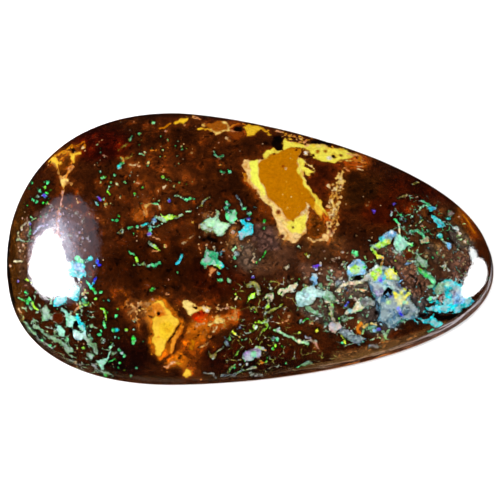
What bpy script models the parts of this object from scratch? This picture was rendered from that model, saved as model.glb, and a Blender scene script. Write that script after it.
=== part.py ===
"""A polished boulder opal: one pear-shaped cabochon of ironstone, domed on top and flat underneath.

The stone lies on its flat underside. Its length runs along X, with the narrow end at +X, and +Z is up.
The origin is on the underside, at the centre of the stone's bounding box.
"""

import math

import bmesh
import bpy
import numpy as np
from mathutils import Vector
from mathutils.geometry import interpolate_bezier

MM = 0.001

# The stone's overall size, in millimetres.
LENGTH = 30.0
WIDTH = 16.7
HEIGHT = 5.2

# The pear outline has four arcs between its outermost points. Each of those points lies on a side of the
# bounding box, so one number places it, and each arc leaves it along that side by a handle's length.
TIP_Y = -1.5
TOP_X = -4.8
BUTT_Y = -1.1
BOTTOM_X = -4.7
HANDLE_BEFORE_TIP = 5.0
HANDLE_AFTER_TIP = 6.4
HANDLE_BEFORE_TOP = 4.1
HANDLE_AFTER_TOP = 7.2
HANDLE_BEFORE_BUTT = 4.7
HANDLE_AFTER_BUTT = 5.2
HANDLE_BEFORE_BOTTOM = 5.5
HANDLE_AFTER_BOTTOM = 7.2

# The foot is a rounded edge between the flat underside and the wall. Its insets are shares of the outline.
FOOT_INSET_ALONG = 0.025
FOOT_INSET_ACROSS = 0.05
FOOT_HEIGHT = 0.5

# The wall rises from the foot to the shoulder, where the dome begins. It leans in by these shares of the
# outline, and the whole dome sits a little off the foot's centre, so one side's wall leans more.
SHOULDER_HEIGHT = 1.8
SHOULDER_INSET_ALONG = 0.012
SHOULDER_INSET_ACROSS = 0.025
DOME_OFFSET_Y = 0.22

# The dome's section is the upper part of a superellipse, from this turn up: a higher flatness gives a
# flatter crown and a steeper edge. Its rings shrink onto a ridge line, along which they close up last.
DOME_FLATNESS = 2.2
DOME_START = math.radians(16)
RIDGE_SHARE = 0.7
RIDGE_CLOSING = 2.2
RIDGE_Y = -0.5
RIDGE_SLOPE = -0.033
CROWN_X = -3.0

OUTLINE_POINTS = 96
UNDERSIDE_RINGS = (0.0, 0.45, 0.8)
FOOT_STEPS = 4
WALL_STEPS = 3
DOME_STEPS = 18
ARC_SAMPLES = 200
SHARP_ANGLE = math.radians(40)

STONE_BROWN = (0.075, 0.02, 0.006, 1.0)
STONE_ROUGHNESS = 0.15


def clear_scene():
    for obj in list(bpy.data.objects):
        bpy.data.objects.remove(obj)


def outline_arcs():
    """The sampled arcs of the pear outline, anticlockwise from the tip, in millimetres."""
    half_length = LENGTH / 2
    half_width = WIDTH / 2
    tip = Vector((half_length, TIP_Y))
    top = Vector((TOP_X, half_width))
    butt = Vector((-half_length, BUTT_Y))
    bottom = Vector((BOTTOM_X, -half_width))
    right = Vector((1, 0))
    up = Vector((0, 1))
    arcs = (
        (tip, tip + up * HANDLE_AFTER_TIP, top + right * HANDLE_BEFORE_TOP, top),
        (top, top - right * HANDLE_AFTER_TOP, butt + up * HANDLE_BEFORE_BUTT, butt),
        (butt, butt - up * HANDLE_AFTER_BUTT, bottom - right * HANDLE_BEFORE_BOTTOM, bottom),
        (bottom, bottom + right * HANDLE_AFTER_BOTTOM, tip - up * HANDLE_BEFORE_TIP, tip),
    )
    points = []
    for start, leaving, arriving, end in arcs:
        points += interpolate_bezier(start, leaving, arriving, end, ARC_SAMPLES)[:-1]
    return np.array([point[:2] for point in points])


def spaced_evenly(points, count):
    """count points at equal steps along a closed line, the first of them at its start."""
    closed = np.vstack([points, points[:1]])
    travelled = np.concatenate([[0], np.cumsum(np.linalg.norm(np.diff(closed, axis=0), axis=1))])
    stops = np.linspace(0, travelled[-1], count, endpoint=False)
    return np.column_stack([np.interp(stops, travelled, closed[:, axis]) for axis in (0, 1)])


def underside_and_foot():
    """Rings from the middle of the underside to the top of the foot.

    Every ring is its share of the outline along and across, its height, and its share of the dome's offset.
    """
    rings = []
    for share in UNDERSIDE_RINGS:
        rings.append(((1 - FOOT_INSET_ALONG) * share, (1 - FOOT_INSET_ACROSS) * share, 0.0, 0.0))
    for step in range(FOOT_STEPS + 1):
        turn = math.pi / 2 * step / FOOT_STEPS
        cut_away = 1 - math.sin(turn)
        along = 1 - FOOT_INSET_ALONG * cut_away
        across = 1 - FOOT_INSET_ACROSS * cut_away
        rings.append((along, across, FOOT_HEIGHT * (1 - math.cos(turn)), 0.0))
    return rings


def wall():
    rings = []
    for step in range(1, WALL_STEPS + 1):
        risen = step / WALL_STEPS
        along = 1 - SHOULDER_INSET_ALONG * risen
        across = 1 - SHOULDER_INSET_ACROSS * risen
        height = FOOT_HEIGHT + (SHOULDER_HEIGHT - FOOT_HEIGHT) * risen
        rings.append((along, across, height, risen))
    return rings


def dome():
    """Rings from above the shoulder to the crown, where the last one has no width."""
    rings = []
    start_width = math.cos(DOME_START) ** (2 / DOME_FLATNESS)
    for step in range(1, DOME_STEPS + 1):
        turn = DOME_START + (math.pi / 2 - DOME_START) * step / DOME_STEPS
        kept_width = max(0.0, math.cos(turn)) ** (2 / DOME_FLATNESS) / start_width
        inwards = 1 - kept_width
        kept_length = 1 - RIDGE_SHARE * inwards - (1 - RIDGE_SHARE) * inwards**RIDGE_CLOSING
        risen = (math.sin(turn) - math.sin(DOME_START)) / (1 - math.sin(DOME_START))
        along = (1 - SHOULDER_INSET_ALONG) * kept_length
        across = (1 - SHOULDER_INSET_ACROSS) * kept_width
        rings.append((along, across, SHOULDER_HEIGHT + (HEIGHT - SHOULDER_HEIGHT) * risen, 1.0))
    return rings


def ridge_y(x):
    return RIDGE_Y + RIDGE_SLOPE * x


def on_ring(ring, x, y):
    """The place on a ring of the outline's point (x, y), in metres."""
    along, across, height, offset_share = ring
    ring_x = CROWN_X + (x - CROWN_X) * along
    ring_y = ridge_y(ring_x) + (y - ridge_y(x)) * across + DOME_OFFSET_Y * offset_share
    return Vector((ring_x, ring_y, height)) * MM


def stone_mesh():
    """A UV sphere whose latitudes become the stone's rings and whose longitudes follow its outline."""
    rings = underside_and_foot() + wall() + dome()
    last_ring = len(rings) - 1
    outline = spaced_evenly(outline_arcs(), OUTLINE_POINTS)
    bm = bmesh.new()
    bmesh.ops.create_uvsphere(bm, u_segments=OUTLINE_POINTS, v_segments=last_ring, radius=1.0)
    for vert in bm.verts:
        from_south_pole = math.acos(max(-1.0, min(1.0, -vert.co.z)))
        longitude = math.atan2(vert.co.y, vert.co.x)
        ring = rings[round(from_south_pole / math.pi * last_ring)]
        x, y = outline[round(longitude / math.tau * OUTLINE_POINTS) % OUTLINE_POINTS]
        vert.co = on_ring(ring, x, y)
    mesh = bpy.data.meshes.new("stone")
    bm.to_mesh(mesh)
    bm.free()
    mesh.shade_smooth()
    mesh.set_sharp_from_angle(angle=SHARP_ANGLE)
    return mesh


def polished_stone_material():
    material = bpy.data.materials.new("polished_ironstone")
    material.use_nodes = True
    shader = material.node_tree.nodes["Principled BSDF"]
    shader.inputs["Base Color"].default_value = STONE_BROWN
    shader.inputs["Roughness"].default_value = STONE_ROUGHNESS
    shader.inputs["Metallic"].default_value = 0.0
    return material


def build():
    clear_scene()
    collection = bpy.data.collections.new("boulder_opal")
    bpy.context.scene.collection.children.link(collection)
    stone = bpy.data.objects.new("stone", stone_mesh())
    stone.data.materials.append(polished_stone_material())
    collection.objects.link(stone)


build()
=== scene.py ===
"""The looks of a polished boulder opal: a pear-shaped ironstone cabochon with opal in its veins.

Lengths inside this script are in millimetres, and pixels are those of the 500 by 500 photograph, seen
through the script's own camera. A pixel says where a vein or patch lies on the stone.
"""

import math

import bpy
import numpy as np
from mathutils import Matrix, Vector
from mathutils.geometry import delaunay_2d_cdt, interpolate_bezier


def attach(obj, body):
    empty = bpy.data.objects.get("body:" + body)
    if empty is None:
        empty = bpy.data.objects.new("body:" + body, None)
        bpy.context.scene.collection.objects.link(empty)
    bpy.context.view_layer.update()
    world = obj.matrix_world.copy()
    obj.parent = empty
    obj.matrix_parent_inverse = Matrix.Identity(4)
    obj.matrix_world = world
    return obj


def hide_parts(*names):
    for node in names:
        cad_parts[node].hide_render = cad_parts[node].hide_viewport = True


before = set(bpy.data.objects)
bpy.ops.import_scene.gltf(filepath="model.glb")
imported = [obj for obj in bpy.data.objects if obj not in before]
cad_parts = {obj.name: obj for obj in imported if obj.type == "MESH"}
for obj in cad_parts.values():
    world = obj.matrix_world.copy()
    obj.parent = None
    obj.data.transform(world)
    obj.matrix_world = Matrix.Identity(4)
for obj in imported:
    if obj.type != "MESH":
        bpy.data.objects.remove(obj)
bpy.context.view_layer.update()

MM = 0.001

# The stone's shape repeats the numbers of the CAD part.
LENGTH = 30.0
WIDTH = 16.7
HEIGHT = 5.2
TIP_Y = -1.5
TOP_X = -4.8
BUTT_Y = -1.1
BOTTOM_X = -4.7
HANDLE_BEFORE_TIP = 5.0
HANDLE_AFTER_TIP = 6.4
HANDLE_BEFORE_TOP = 4.1
HANDLE_AFTER_TOP = 7.2
HANDLE_BEFORE_BUTT = 4.7
HANDLE_AFTER_BUTT = 5.2
HANDLE_BEFORE_BOTTOM = 5.5
HANDLE_AFTER_BOTTOM = 7.2
FOOT_INSET_ALONG = 0.025
FOOT_INSET_ACROSS = 0.05
FOOT_HEIGHT = 0.5
SHOULDER_HEIGHT = 1.8
SHOULDER_INSET_ALONG = 0.012
SHOULDER_INSET_ACROSS = 0.025
DOME_OFFSET_Y = 0.22
DOME_FLATNESS = 2.2
DOME_START = math.radians(16)
RIDGE_SHARE = 0.7
RIDGE_CLOSING = 2.2
RIDGE_Y = -0.5
RIDGE_SLOPE = -0.033
CROWN_X = -3.0

# The mesh: rings around the edge, and an even lattice of triangles inside them, above and below.
RING_POINTS = 820
ARC_SAMPLES = 400
FOOT_RINGS = 7
WALL_RINGS = 12
EDGE_RINGS = 24
LATTICE_INWARDS = 0.18
DOME_SPACING = 0.086
UNDERSIDE_SPACING = 0.3
LATTICE_MARGIN = 0.6
BISECTIONS = 26

# Above 1, this power draws the rings over the dome's edge together towards the wall.
EDGE_CROWDING = 1.15

# What the triangulation is asked for: only the inside of the border, and how close points count as one.
INSIDE_ONLY = 1
SAME_POINT = 1e-7

# No division is by less than this.
TINY = 1e-9

# The camera stands above the stone and leans to its lower right, as the photograph does.
CAMERA_FROM = (0.06, -0.144, 1.0)
CAMERA_TARGET = (0.063, -0.04, 0.5)
CAMERA_DISTANCE = 154.2
CAMERA_CLIP = 5.0
CAMERA_LENS = 180.0
SENSOR_WIDTH = 36.0
PHOTO_SIZE = 500

# Diffuse light on the crown makes a colour this much brighter than its own reflectance.
LIGHT_GAIN = 2.1

# The standard curve between screen values and light.
TOE_END = 0.04045
TOE_SLOPE = 12.92
CURVE_SHIFT = 0.055
CURVE_POWER = 2.4

# The seeded noise repeats after this many of its bumps.
NOISE_CELLS = 32


def clamp01(values):
    return np.clip(values, 0.0, 1.0)


def ridge_y(x):
    return RIDGE_Y + RIDGE_SLOPE * x


def outline_points():
    """The pear outline, anticlockwise from the tip, as evenly spaced points."""
    half_length = LENGTH / 2
    half_width = WIDTH / 2
    tip = Vector((half_length, TIP_Y))
    top = Vector((TOP_X, half_width))
    butt = Vector((-half_length, BUTT_Y))
    bottom = Vector((BOTTOM_X, -half_width))
    right = Vector((1, 0))
    up = Vector((0, 1))
    arcs = (
        (tip, tip + up * HANDLE_AFTER_TIP, top + right * HANDLE_BEFORE_TOP, top),
        (top, top - right * HANDLE_AFTER_TOP, butt + up * HANDLE_BEFORE_BUTT, butt),
        (butt, butt - up * HANDLE_AFTER_BUTT, bottom - right * HANDLE_BEFORE_BOTTOM, bottom),
        (bottom, bottom + right * HANDLE_AFTER_BOTTOM, tip - up * HANDLE_BEFORE_TIP, tip),
    )
    points = []
    for start, leaving, arriving, end in arcs:
        points += interpolate_bezier(start, leaving, arriving, end, ARC_SAMPLES)[:-1]
    closed = np.array([point[:2] for point in points + points[:1]])
    travelled = np.concatenate([[0], np.cumsum(np.linalg.norm(np.diff(closed, axis=0), axis=1))])
    stops = np.linspace(0, travelled[-1], RING_POINTS, endpoint=False)
    return np.column_stack([np.interp(stops, travelled, closed[:, axis]) for axis in (0, 1)])


def ring(outline, along, across, height, offset_share):
    """The outline drawn in to one ring of the stone."""
    x = CROWN_X + (outline[:, 0] - CROWN_X) * along
    y = ridge_y(x) + (outline[:, 1] - ridge_y(outline[:, 0])) * across + DOME_OFFSET_Y * offset_share
    return np.column_stack([x, y, np.full(len(outline), height)])


def dome_shares(inwards):
    """How far along, across and up a dome ring lies that is this share of the way in."""
    start_width = math.cos(DOME_START) ** (2 / DOME_FLATNESS)
    turn = np.arccos(clamp01((1 - inwards) * start_width) ** (DOME_FLATNESS / 2))
    risen = (np.sin(turn) - math.sin(DOME_START)) / (1 - math.sin(DOME_START))
    kept_length = 1 - RIDGE_SHARE * inwards - (1 - RIDGE_SHARE) * inwards**RIDGE_CLOSING
    along = (1 - SHOULDER_INSET_ALONG) * kept_length
    across = (1 - SHOULDER_INSET_ACROSS) * (1 - inwards)
    return along, across, SHOULDER_HEIGHT + (HEIGHT - SHOULDER_HEIGHT) * risen


def edge_rings(outline):
    """Rings from the underside's edge up over the foot and the wall and in over the dome's edge."""
    rings = []
    for step in range(FOOT_RINGS + 1):
        turn = math.pi / 2 * step / FOOT_RINGS
        cut_away = 1 - math.sin(turn)
        along = 1 - FOOT_INSET_ALONG * cut_away
        across = 1 - FOOT_INSET_ACROSS * cut_away
        rings.append(ring(outline, along, across, FOOT_HEIGHT * (1 - math.cos(turn)), 0.0))
    for step in range(1, WALL_RINGS + 1):
        risen = step / WALL_RINGS
        along = 1 - SHOULDER_INSET_ALONG * risen
        across = 1 - SHOULDER_INSET_ACROSS * risen
        height = FOOT_HEIGHT + (SHOULDER_HEIGHT - FOOT_HEIGHT) * risen
        rings.append(ring(outline, along, across, height, risen))
    for step in range(1, EDGE_RINGS + 1):
        inwards = LATTICE_INWARDS * (step / EDGE_RINGS) ** EDGE_CROWDING
        rings.append(ring(outline, *dome_shares(inwards), 1.0))
    return rings


def reaches(points, border, centre):
    """How far each point lies from a centre, and how far the closed border around it lies the same way."""
    offset = border - centre
    angle = np.arctan2(offset[:, 1], offset[:, 0])
    order = np.argsort(angle)
    radius = np.hypot(offset[:, 0], offset[:, 1])[order]
    angle = angle[order]
    angles = np.concatenate([angle - math.tau, angle, angle + math.tau])
    away = points - centre
    limit = np.interp(np.arctan2(away[:, 1], away[:, 0]), angles, np.tile(radius, 3))
    return np.hypot(away[:, 0], away[:, 1]), limit


def dome_height(plan, outline):
    """The dome's height over plan points, by halving the range of rings that each may lie on."""
    crown = np.array([CROWN_X, ridge_y(CROWN_X)])
    low = np.zeros(len(plan))
    high = np.ones(len(plan))
    for _ in range(BISECTIONS):
        inwards = (low + high) / 2
        along, across, _height = dome_shares(inwards)
        x = CROWN_X + (plan[:, 0] - CROWN_X) / np.maximum(along, TINY)
        y = ridge_y(x) + (plan[:, 1] - DOME_OFFSET_Y - ridge_y(plan[:, 0])) / np.maximum(across, TINY)
        reach, limit = reaches(np.column_stack([x, y]), outline, crown)
        within = reach / limit < 1
        low = np.where(within, inwards, low)
        high = np.where(within, high, inwards)
    return dome_shares((low + high) / 2)[2]


def lattice_inside(border, spacing):
    """Points of a triangular lattice inside a closed border, and the triangles that join it all up."""
    low = border.min(axis=0)
    high = border.max(axis=0)
    row_step = spacing * math.sqrt(3) / 2
    rows = np.arange(low[1], high[1], row_step)
    columns = np.arange(low[0], high[0], spacing)
    x, y = np.meshgrid(columns, rows)
    x = x + spacing / 2 * (np.arange(len(rows)) % 2)[:, None]
    lattice = np.column_stack([x.ravel(), y.ravel()])
    reach, limit = reaches(lattice, border, border.mean(axis=0))
    lattice = lattice[reach < limit - spacing * LATTICE_MARGIN]
    points = [Vector(point) for point in np.vstack([border, lattice])]
    count = len(border)
    edges = [(index, (index + 1) % count) for index in range(count)]
    found, _edges, faces, *_sources = delaunay_2d_cdt(points, edges, [], INSIDE_ONLY, SAME_POINT)
    if len(found) != len(points):
        raise RuntimeError("the lattice changed its points while it was joined up")
    return lattice, np.array(faces)


def stone_surface():
    """The stone's points, its triangles, and which points belong to the underside."""
    outline = outline_points()
    rings = edge_rings(outline)
    points = [np.vstack(rings)]
    faces = []
    index = np.arange(RING_POINTS)
    after = (index + 1) % RING_POINTS
    for step in range(len(rings) - 1):
        near = step * RING_POINTS
        far = near + RING_POINTS
        faces.append(np.column_stack([near + index, near + after, far + after]))
        faces.append(np.column_stack([near + index, far + after, far + index]))
    rim = (len(rings) - 1) * RING_POINTS
    lattice, inner = lattice_inside(rings[-1][:, :2], DOME_SPACING)
    added = len(rings) * RING_POINTS
    points.append(np.column_stack([lattice, dome_height(lattice, outline)]))
    faces.append(np.where(inner < RING_POINTS, rim + inner, added + inner - RING_POINTS))
    added += len(lattice)
    lattice, inner = lattice_inside(rings[0][:, :2], UNDERSIDE_SPACING)
    points.append(np.column_stack([lattice, np.zeros(len(lattice))]))
    inner = np.where(inner < RING_POINTS, inner, added + inner - RING_POINTS)
    faces.append(inner[:, ::-1])
    points = np.vstack(points)
    underside = np.arange(len(points)) >= added
    return points, np.vstack(faces), underside


def point_normals(points, faces):
    corners = points[faces]
    across = np.cross(corners[:, 1] - corners[:, 0], corners[:, 2] - corners[:, 0])
    normals = np.zeros_like(points)
    for corner in range(3):
        np.add.at(normals, faces[:, corner], across)
    return normals / np.maximum(np.linalg.norm(normals, axis=1, keepdims=True), TINY)


def camera_axes():
    back = np.array(CAMERA_FROM) / np.linalg.norm(CAMERA_FROM)
    right = np.cross((0.0, 1.0, 0.0), back)
    right /= np.linalg.norm(right)
    return right, np.cross(back, right), back


def camera_place():
    return np.array(CAMERA_TARGET) + camera_axes()[2] * CAMERA_DISTANCE


def photo_pixels(points):
    """Where the camera sees each point, in the photograph's pixels."""
    right, up, back = camera_axes()
    away = points - camera_place()
    depth = -(away @ back)
    focal = CAMERA_LENS / SENSOR_WIDTH * PHOTO_SIZE
    x = PHOTO_SIZE / 2 + focal * (away @ right) / depth
    y = PHOTO_SIZE / 2 - focal * (away @ up) / depth
    return np.column_stack([x, y])


def smooth_noise(points, size, seed):
    """Smooth noise between -1 and 1 whose bumps are about as wide as size."""
    dims = points.shape[1]
    grid = np.random.default_rng(seed).uniform(-1, 1, (NOISE_CELLS,) * dims)
    scaled = points / size
    cell = np.floor(scaled).astype(int)
    part = scaled - cell
    part = part * part * (3 - 2 * part)
    total = np.zeros(len(points))
    for corner in range(2**dims):
        steps = [(corner >> axis) & 1 for axis in range(dims)]
        weight = np.ones(len(points))
        for axis, step in enumerate(steps):
            weight = weight * (part[:, axis] if step else 1 - part[:, axis])
        where = tuple((cell[:, axis] + step) % NOISE_CELLS for axis, step in enumerate(steps))
        total += weight * grid[where]
    return total


# The pale floor, and the little light that comes from everywhere.
FLOOR_SIZE = 3000.0
FLOOR_WHITE = 0.92
FLOOR_ROUGHNESS = 0.9
WORLD_LIGHT = 0.004

# A far lamp only sheds light. What the stone mirrors is a small lamp this near, on the same lines from the
# camera: seen from a low side, the flat crown then looks past it and doesn't turn white.
NEAR_LAMP = 5.0

# The dome is where the surface's normal rises at least this much.
DOME_NORMAL = 0.6

# Each lamp: name, shape, aim, compass turn, climb, distance, width, height, colour, radiance, and whether
# the stone mirrors it. The right ones aim at the narrow end, and the left ones at the broad end.
LEFT_AIM = (-12.0, 0.0, 3.0)
RIGHT_AIM = (13.0, -1.5, 3.0)
WHITE = (1.0, 1.0, 1.0)
LAMPS = (
    ("left_softbox", "ELLIPSE", LEFT_AIM, 182.7, 37, 150, 106, 98, WHITE, 7.5, True),
    ("left_corner", "ELLIPSE", LEFT_AIM, 198, 50, 150, 46, 42, (0.95, 1.0, 1.0), 6.5, True),
    ("left_glow", "ELLIPSE", LEFT_AIM, 179.5, 40, 158, 118, 104, (0.7, 0.8, 1.0), 2.2, True),
    ("left_halo", "ELLIPSE", LEFT_AIM, 178, 39, 165, 150, 135, (0.8, 0.73, 1.0), 1.0, True),
    ("left_rim_glow", "ELLIPSE", LEFT_AIM, 176, 42, 185, 205, 180, (0.9, 0.82, 1.0), 0.5, True),
    ("right_softbox", "ELLIPSE", RIGHT_AIM, -13, 6.5, 154, 150, 120, WHITE, 8.0, True),
    ("right_corner", "ELLIPSE", RIGHT_AIM, 14, 17, 154, 44, 36, (0.92, 1.0, 1.0), 6.5, True),
    ("overhead_fill", "RECTANGLE", (0.0, 0.0, 0.0), 90, 86, 600, 560, 560, WHITE, 5.0, False),
)

# Colours as the eye sees them on the lit stone: red, green and blue from 0 to 255.
PALETTE = {
    "ground": (62, 24, 4),
    "black": (8, 2, 1),
    "red_brown": (110, 20, 0),
    "brown": (82, 27, 4),
    "dark_amber": (100, 48, 5),
    "pebble": (90, 50, 25),
    "mauve_brown": (132, 90, 68),
    "orange_brown": (130, 55, 5),
    "olive": (150, 145, 60),
    "amber": (197, 120, 0),
    "deep_amber": (168, 88, 8),
    "orange": (240, 150, 40),
    "yellow": (255, 206, 40),
    "bright_yellow": (255, 240, 84),
    "lemon": (255, 255, 92),
    "gold": (255, 204, 58),
    "tan": (175, 120, 65),
    "cream": (245, 225, 180),
    "butter": (255, 222, 125),
    "peach": (240, 180, 130),
    "peach_cream": (255, 214, 140),
    "pink": (225, 175, 165),
    "white": (250, 250, 250),
    "mint": (95, 250, 150),
    "pale_mint": (158, 236, 200),
    "green": (50, 245, 70),
    "lime": (190, 255, 50),
    "sun": (250, 245, 60),
    "pale_green": (180, 245, 180),
    "teal": (56, 184, 118),
    "dark_teal": (10, 70, 60),
    "cyan": (28, 214, 226),
    "ice": (205, 250, 240),
    "sky": (120, 190, 240),
    "blue": (45, 50, 255),
    "violet": (100, 60, 215),
    "lavender": (165, 150, 185),
    "mauve": (130, 95, 90),
    "potch": (130, 130, 120),
    "sea_gray": (122, 164, 120),
    "steel": (95, 110, 120),
    "steel_blue": (74, 116, 138),
    "beige": (185, 165, 130),
}

# Soft regions of the ironstone itself: middle, reach along x and y, colour and strength.
GROUND_TINTS = (
    ((16, 255), (15, 85), (85, 48, 8), 0.8),
    ((100, 145), (34, 20), (52, 4, 0), 0.85),
    ((150, 190), (54, 42), (92, 40, 9), 0.8),
    ((150, 265), (54, 28), (50, 16, 0), 0.8),
    ((220, 277), (34, 24), (60, 15, 0), 0.8),
    ((127, 358), (27, 21), (32, 6, 2), 0.9),
    ((250, 358), (55, 18), (50, 11, 2), 0.8),
    ((262, 252), (40, 28), (92, 58, 38), 0.8),
    ((360, 192), (32, 20), (55, 25, 3), 0.8),
    ((385, 212), (28, 16), (70, 16, 0), 0.8),
    ((420, 190), (44, 20), (60, 13, 0), 0.8),
    ((436, 240), (38, 40), (88, 50, 25), 0.8),
    ((322, 245), (25, 18), (110, 62, 24), 0.8),
    ((190, 352), (15, 28), (130, 56, 6), 0.85),
    ((140, 215), (9, 9), (140, 66, 10), 0.8),
    ((64, 160), (10, 13), (120, 55, 12), 0.75),
    ((95, 235), (22, 40), (72, 30, 8), 0.6),
    ((235, 129), (12, 9), (120, 50, 6), 0.8),
    ((463, 217), (12, 18), (120, 60, 12), 0.7),
    ((200, 315), (9, 9), (120, 22, 0), 0.9),
    ((258, 318), (22, 22), (72, 26, 8), 0.6),
    ((340, 285), (70, 50), (84, 50, 34), 0.45),
    ((420, 290), (40, 34), (84, 56, 46), 0.5),
)

# Fields where fine opal threads run between the pebbles: colour, amount, and the field's corners.
VEIN_FIELDS = (
    ("sea_gray", 0.4, (20, 290), (48, 300), (90, 286), (98, 330), (118, 345), (112, 378), (80, 370),
     (40, 340), (22, 318)),
    ("olive", 0.16, (238, 280), (298, 276), (300, 300), (284, 318), (300, 340), (344, 350), (330, 368),
     (226, 378), (222, 330)),
    ("sea_gray", 0.7, (296, 284), (348, 262), (372, 262), (400, 290), (404, 322), (380, 344), (344, 344),
     (318, 326), (296, 308)),
    ("sky", 0.7, (368, 268), (398, 268), (410, 292), (400, 326), (376, 326), (366, 296)),
    ("sea_gray", 0.55, (366, 244), (398, 228), (412, 236), (428, 262), (438, 286), (430, 296), (404, 262),
     (380, 254)),
    ("cyan", 0.7, (416, 300), (436, 284), (462, 282), (474, 300), (458, 311), (444, 313), (430, 310),
     (414, 322)),
    ("teal", 0.2, (392, 196), (430, 196), (452, 218), (446, 236), (420, 236), (396, 226)),
    ("sea_gray", 0.3, (440, 232), (466, 222), (474, 244), (448, 252)),
)

# Loose flecks scattered over a field: how many, largest radius, seed, from 0 for clay to 1 for opal, the
# flecks' colours, and the field's corners. A colour named twice is drawn twice as often.
FLECK_FIELDS = (
    (46, 1.0, 3, 1.0, ("mint", "green", "olive", "teal", "pale_green"), (96, 150), (125, 132), (190, 132),
     (190, 200), (130, 216), (92, 210)),
    (110, 0.9, 5, 0.0, ("peach", "beige", "orange", "amber", "pink"), (90, 130), (170, 118), (230, 140),
     (225, 205), (150, 240), (98, 232), (94, 190)),
    (30, 1.1, 7, 1.0, ("mint", "green", "teal", "cyan", "lime"), (92, 286), (120, 300), (144, 330),
     (142, 380), (112, 378), (96, 340)),
    (22, 1.2, 9, 1.0, ("mint", "cyan", "sky", "teal", "pale_green"), (198, 200), (256, 206), (260, 240),
     (236, 286), (200, 280)),
    (56, 1.1, 11, 1.0, ("lime", "green", "olive", "mint", "sun", "lavender"), (232, 280), (300, 276),
     (330, 330), (350, 350), (320, 368), (224, 378)),
    (90, 1.5, 13, 1.0, ("sky", "cream", "mint", "lime", "white", "lavender"), (296, 284), (350, 260),
     (404, 240), (412, 300), (392, 340), (340, 344), (310, 320)),
    (80, 1.4, 15, 1.0, ("cyan", "mint", "teal", "sky", "white"), (392, 196), (432, 196), (462, 222),
     (470, 300), (448, 312), (430, 312), (410, 320), (420, 260)),
    (60, 0.8, 17, 0.4, ("beige", "peach", "pink"), (255, 240), (340, 240), (400, 180), (440, 200),
     (420, 250), (340, 290), (260, 280)),
    (26, 0.7, 19, 0.0, ("yellow", "butter"), (262, 160), (296, 152), (318, 208), (292, 218)),
    (190, 1.5, 25, 0.0, ("yellow", "butter", "peach", "gold"), (283, 131), (312, 138), (346, 150),
     (330, 149), (300, 146), (284, 141)),
    (210, 1.8, 27, 0.0, ("butter", "cream", "peach_cream", "butter"), (336, 172), (345, 176), (344, 188),
     (340, 200), (338, 222), (333, 240), (325, 238), (328, 205), (332, 188)),
    (46, 1.5, 57, 0.0, ("brown", "dark_amber"), (337, 176), (345, 180), (341, 200), (338, 222), (333, 238),
     (328, 232), (331, 205)),
    (60, 1.0, 29, 0.0, ("peach", "butter", "tan", "cream"), (204, 300), (214, 304), (240, 302), (240, 324),
     (206, 332), (196, 322)),
    (70, 1.3, 31, 0.0, ("tan", "orange", "deep_amber"), (186, 320), (214, 322), (212, 345), (196, 352),
     (182, 348)),
    (45, 1.5, 33, 1.0, ("lime", "sun", "white", "sky", "mint"), (368, 270), (396, 268), (400, 283),
     (382, 289), (368, 286)),
    (22, 1.3, 35, 1.0, ("sun", "lime", "white"), (392, 290), (412, 290), (412, 305), (394, 306)),
    (90, 1.4, 37, 0.4, ("tan", "beige", "mauve", "peach"), (198, 212), (215, 205), (244, 222), (262, 232),
     (258, 262), (240, 268), (214, 254), (196, 238)),
    # These mauve and lavender flecks by the left reflection are partly potch and partly painted wrinkles of
    # its reflected haze.
    (150, 1.7, 41, 0.4, ("mauve", "lavender", "potch", "lavender"), (36, 212), (58, 203), (82, 212),
     (90, 238), (86, 254), (70, 252), (56, 226), (38, 224)),
    (130, 1.7, 45, 0.4, ("mauve", "beige", "cream", "mauve_brown", "white"), (326, 256), (350, 250),
     (368, 270), (366, 302), (330, 306), (304, 290), (300, 268)),
    (70, 1.7, 47, 0.4, ("mauve", "beige", "lavender", "potch"), (374, 248), (404, 250), (432, 272),
     (434, 296), (414, 318), (402, 300), (396, 270)),
    (50, 1.6, 49, 1.0, ("pale_mint", "cyan", "white", "sky"), (424, 288), (462, 282), (474, 300), (450, 311),
     (426, 309)),
    (60, 1.4, 51, 1.0, ("pale_mint", "white", "mint", "sea_gray"), (54, 308), (88, 308), (96, 346),
     (72, 344), (56, 334)),
    (60, 1.4, 53, 0.4, ("beige", "potch", "sea_gray", "pale_green"), (20, 312), (56, 330), (96, 356),
     (112, 376), (84, 370), (40, 346)),
    (50, 1.3, 55, 0.0, ("peach", "tan", "orange"), (126, 300), (152, 298), (152, 316), (140, 326),
     (128, 316)),
    (40, 1.3, 43, 0.4, ("mauve", "pink", "beige"), (18, 214), (34, 212), (30, 240), (28, 290), (18, 290)),
    (90, 1.6, 39, 0.4, ("mauve", "mauve_brown", "pebble", "beige"), (438, 248), (470, 246), (474, 272),
     (460, 284), (440, 276)),
    (40, 1.0, 21, 0.0, ("orange", "peach", "amber"), (130, 300), (240, 296), (240, 340), (200, 382),
     (150, 380)),
    (26, 1.0, 23, 1.0, ("green", "mint", "teal"), (22, 175), (56, 178), (50, 212), (24, 236)),
)

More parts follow.
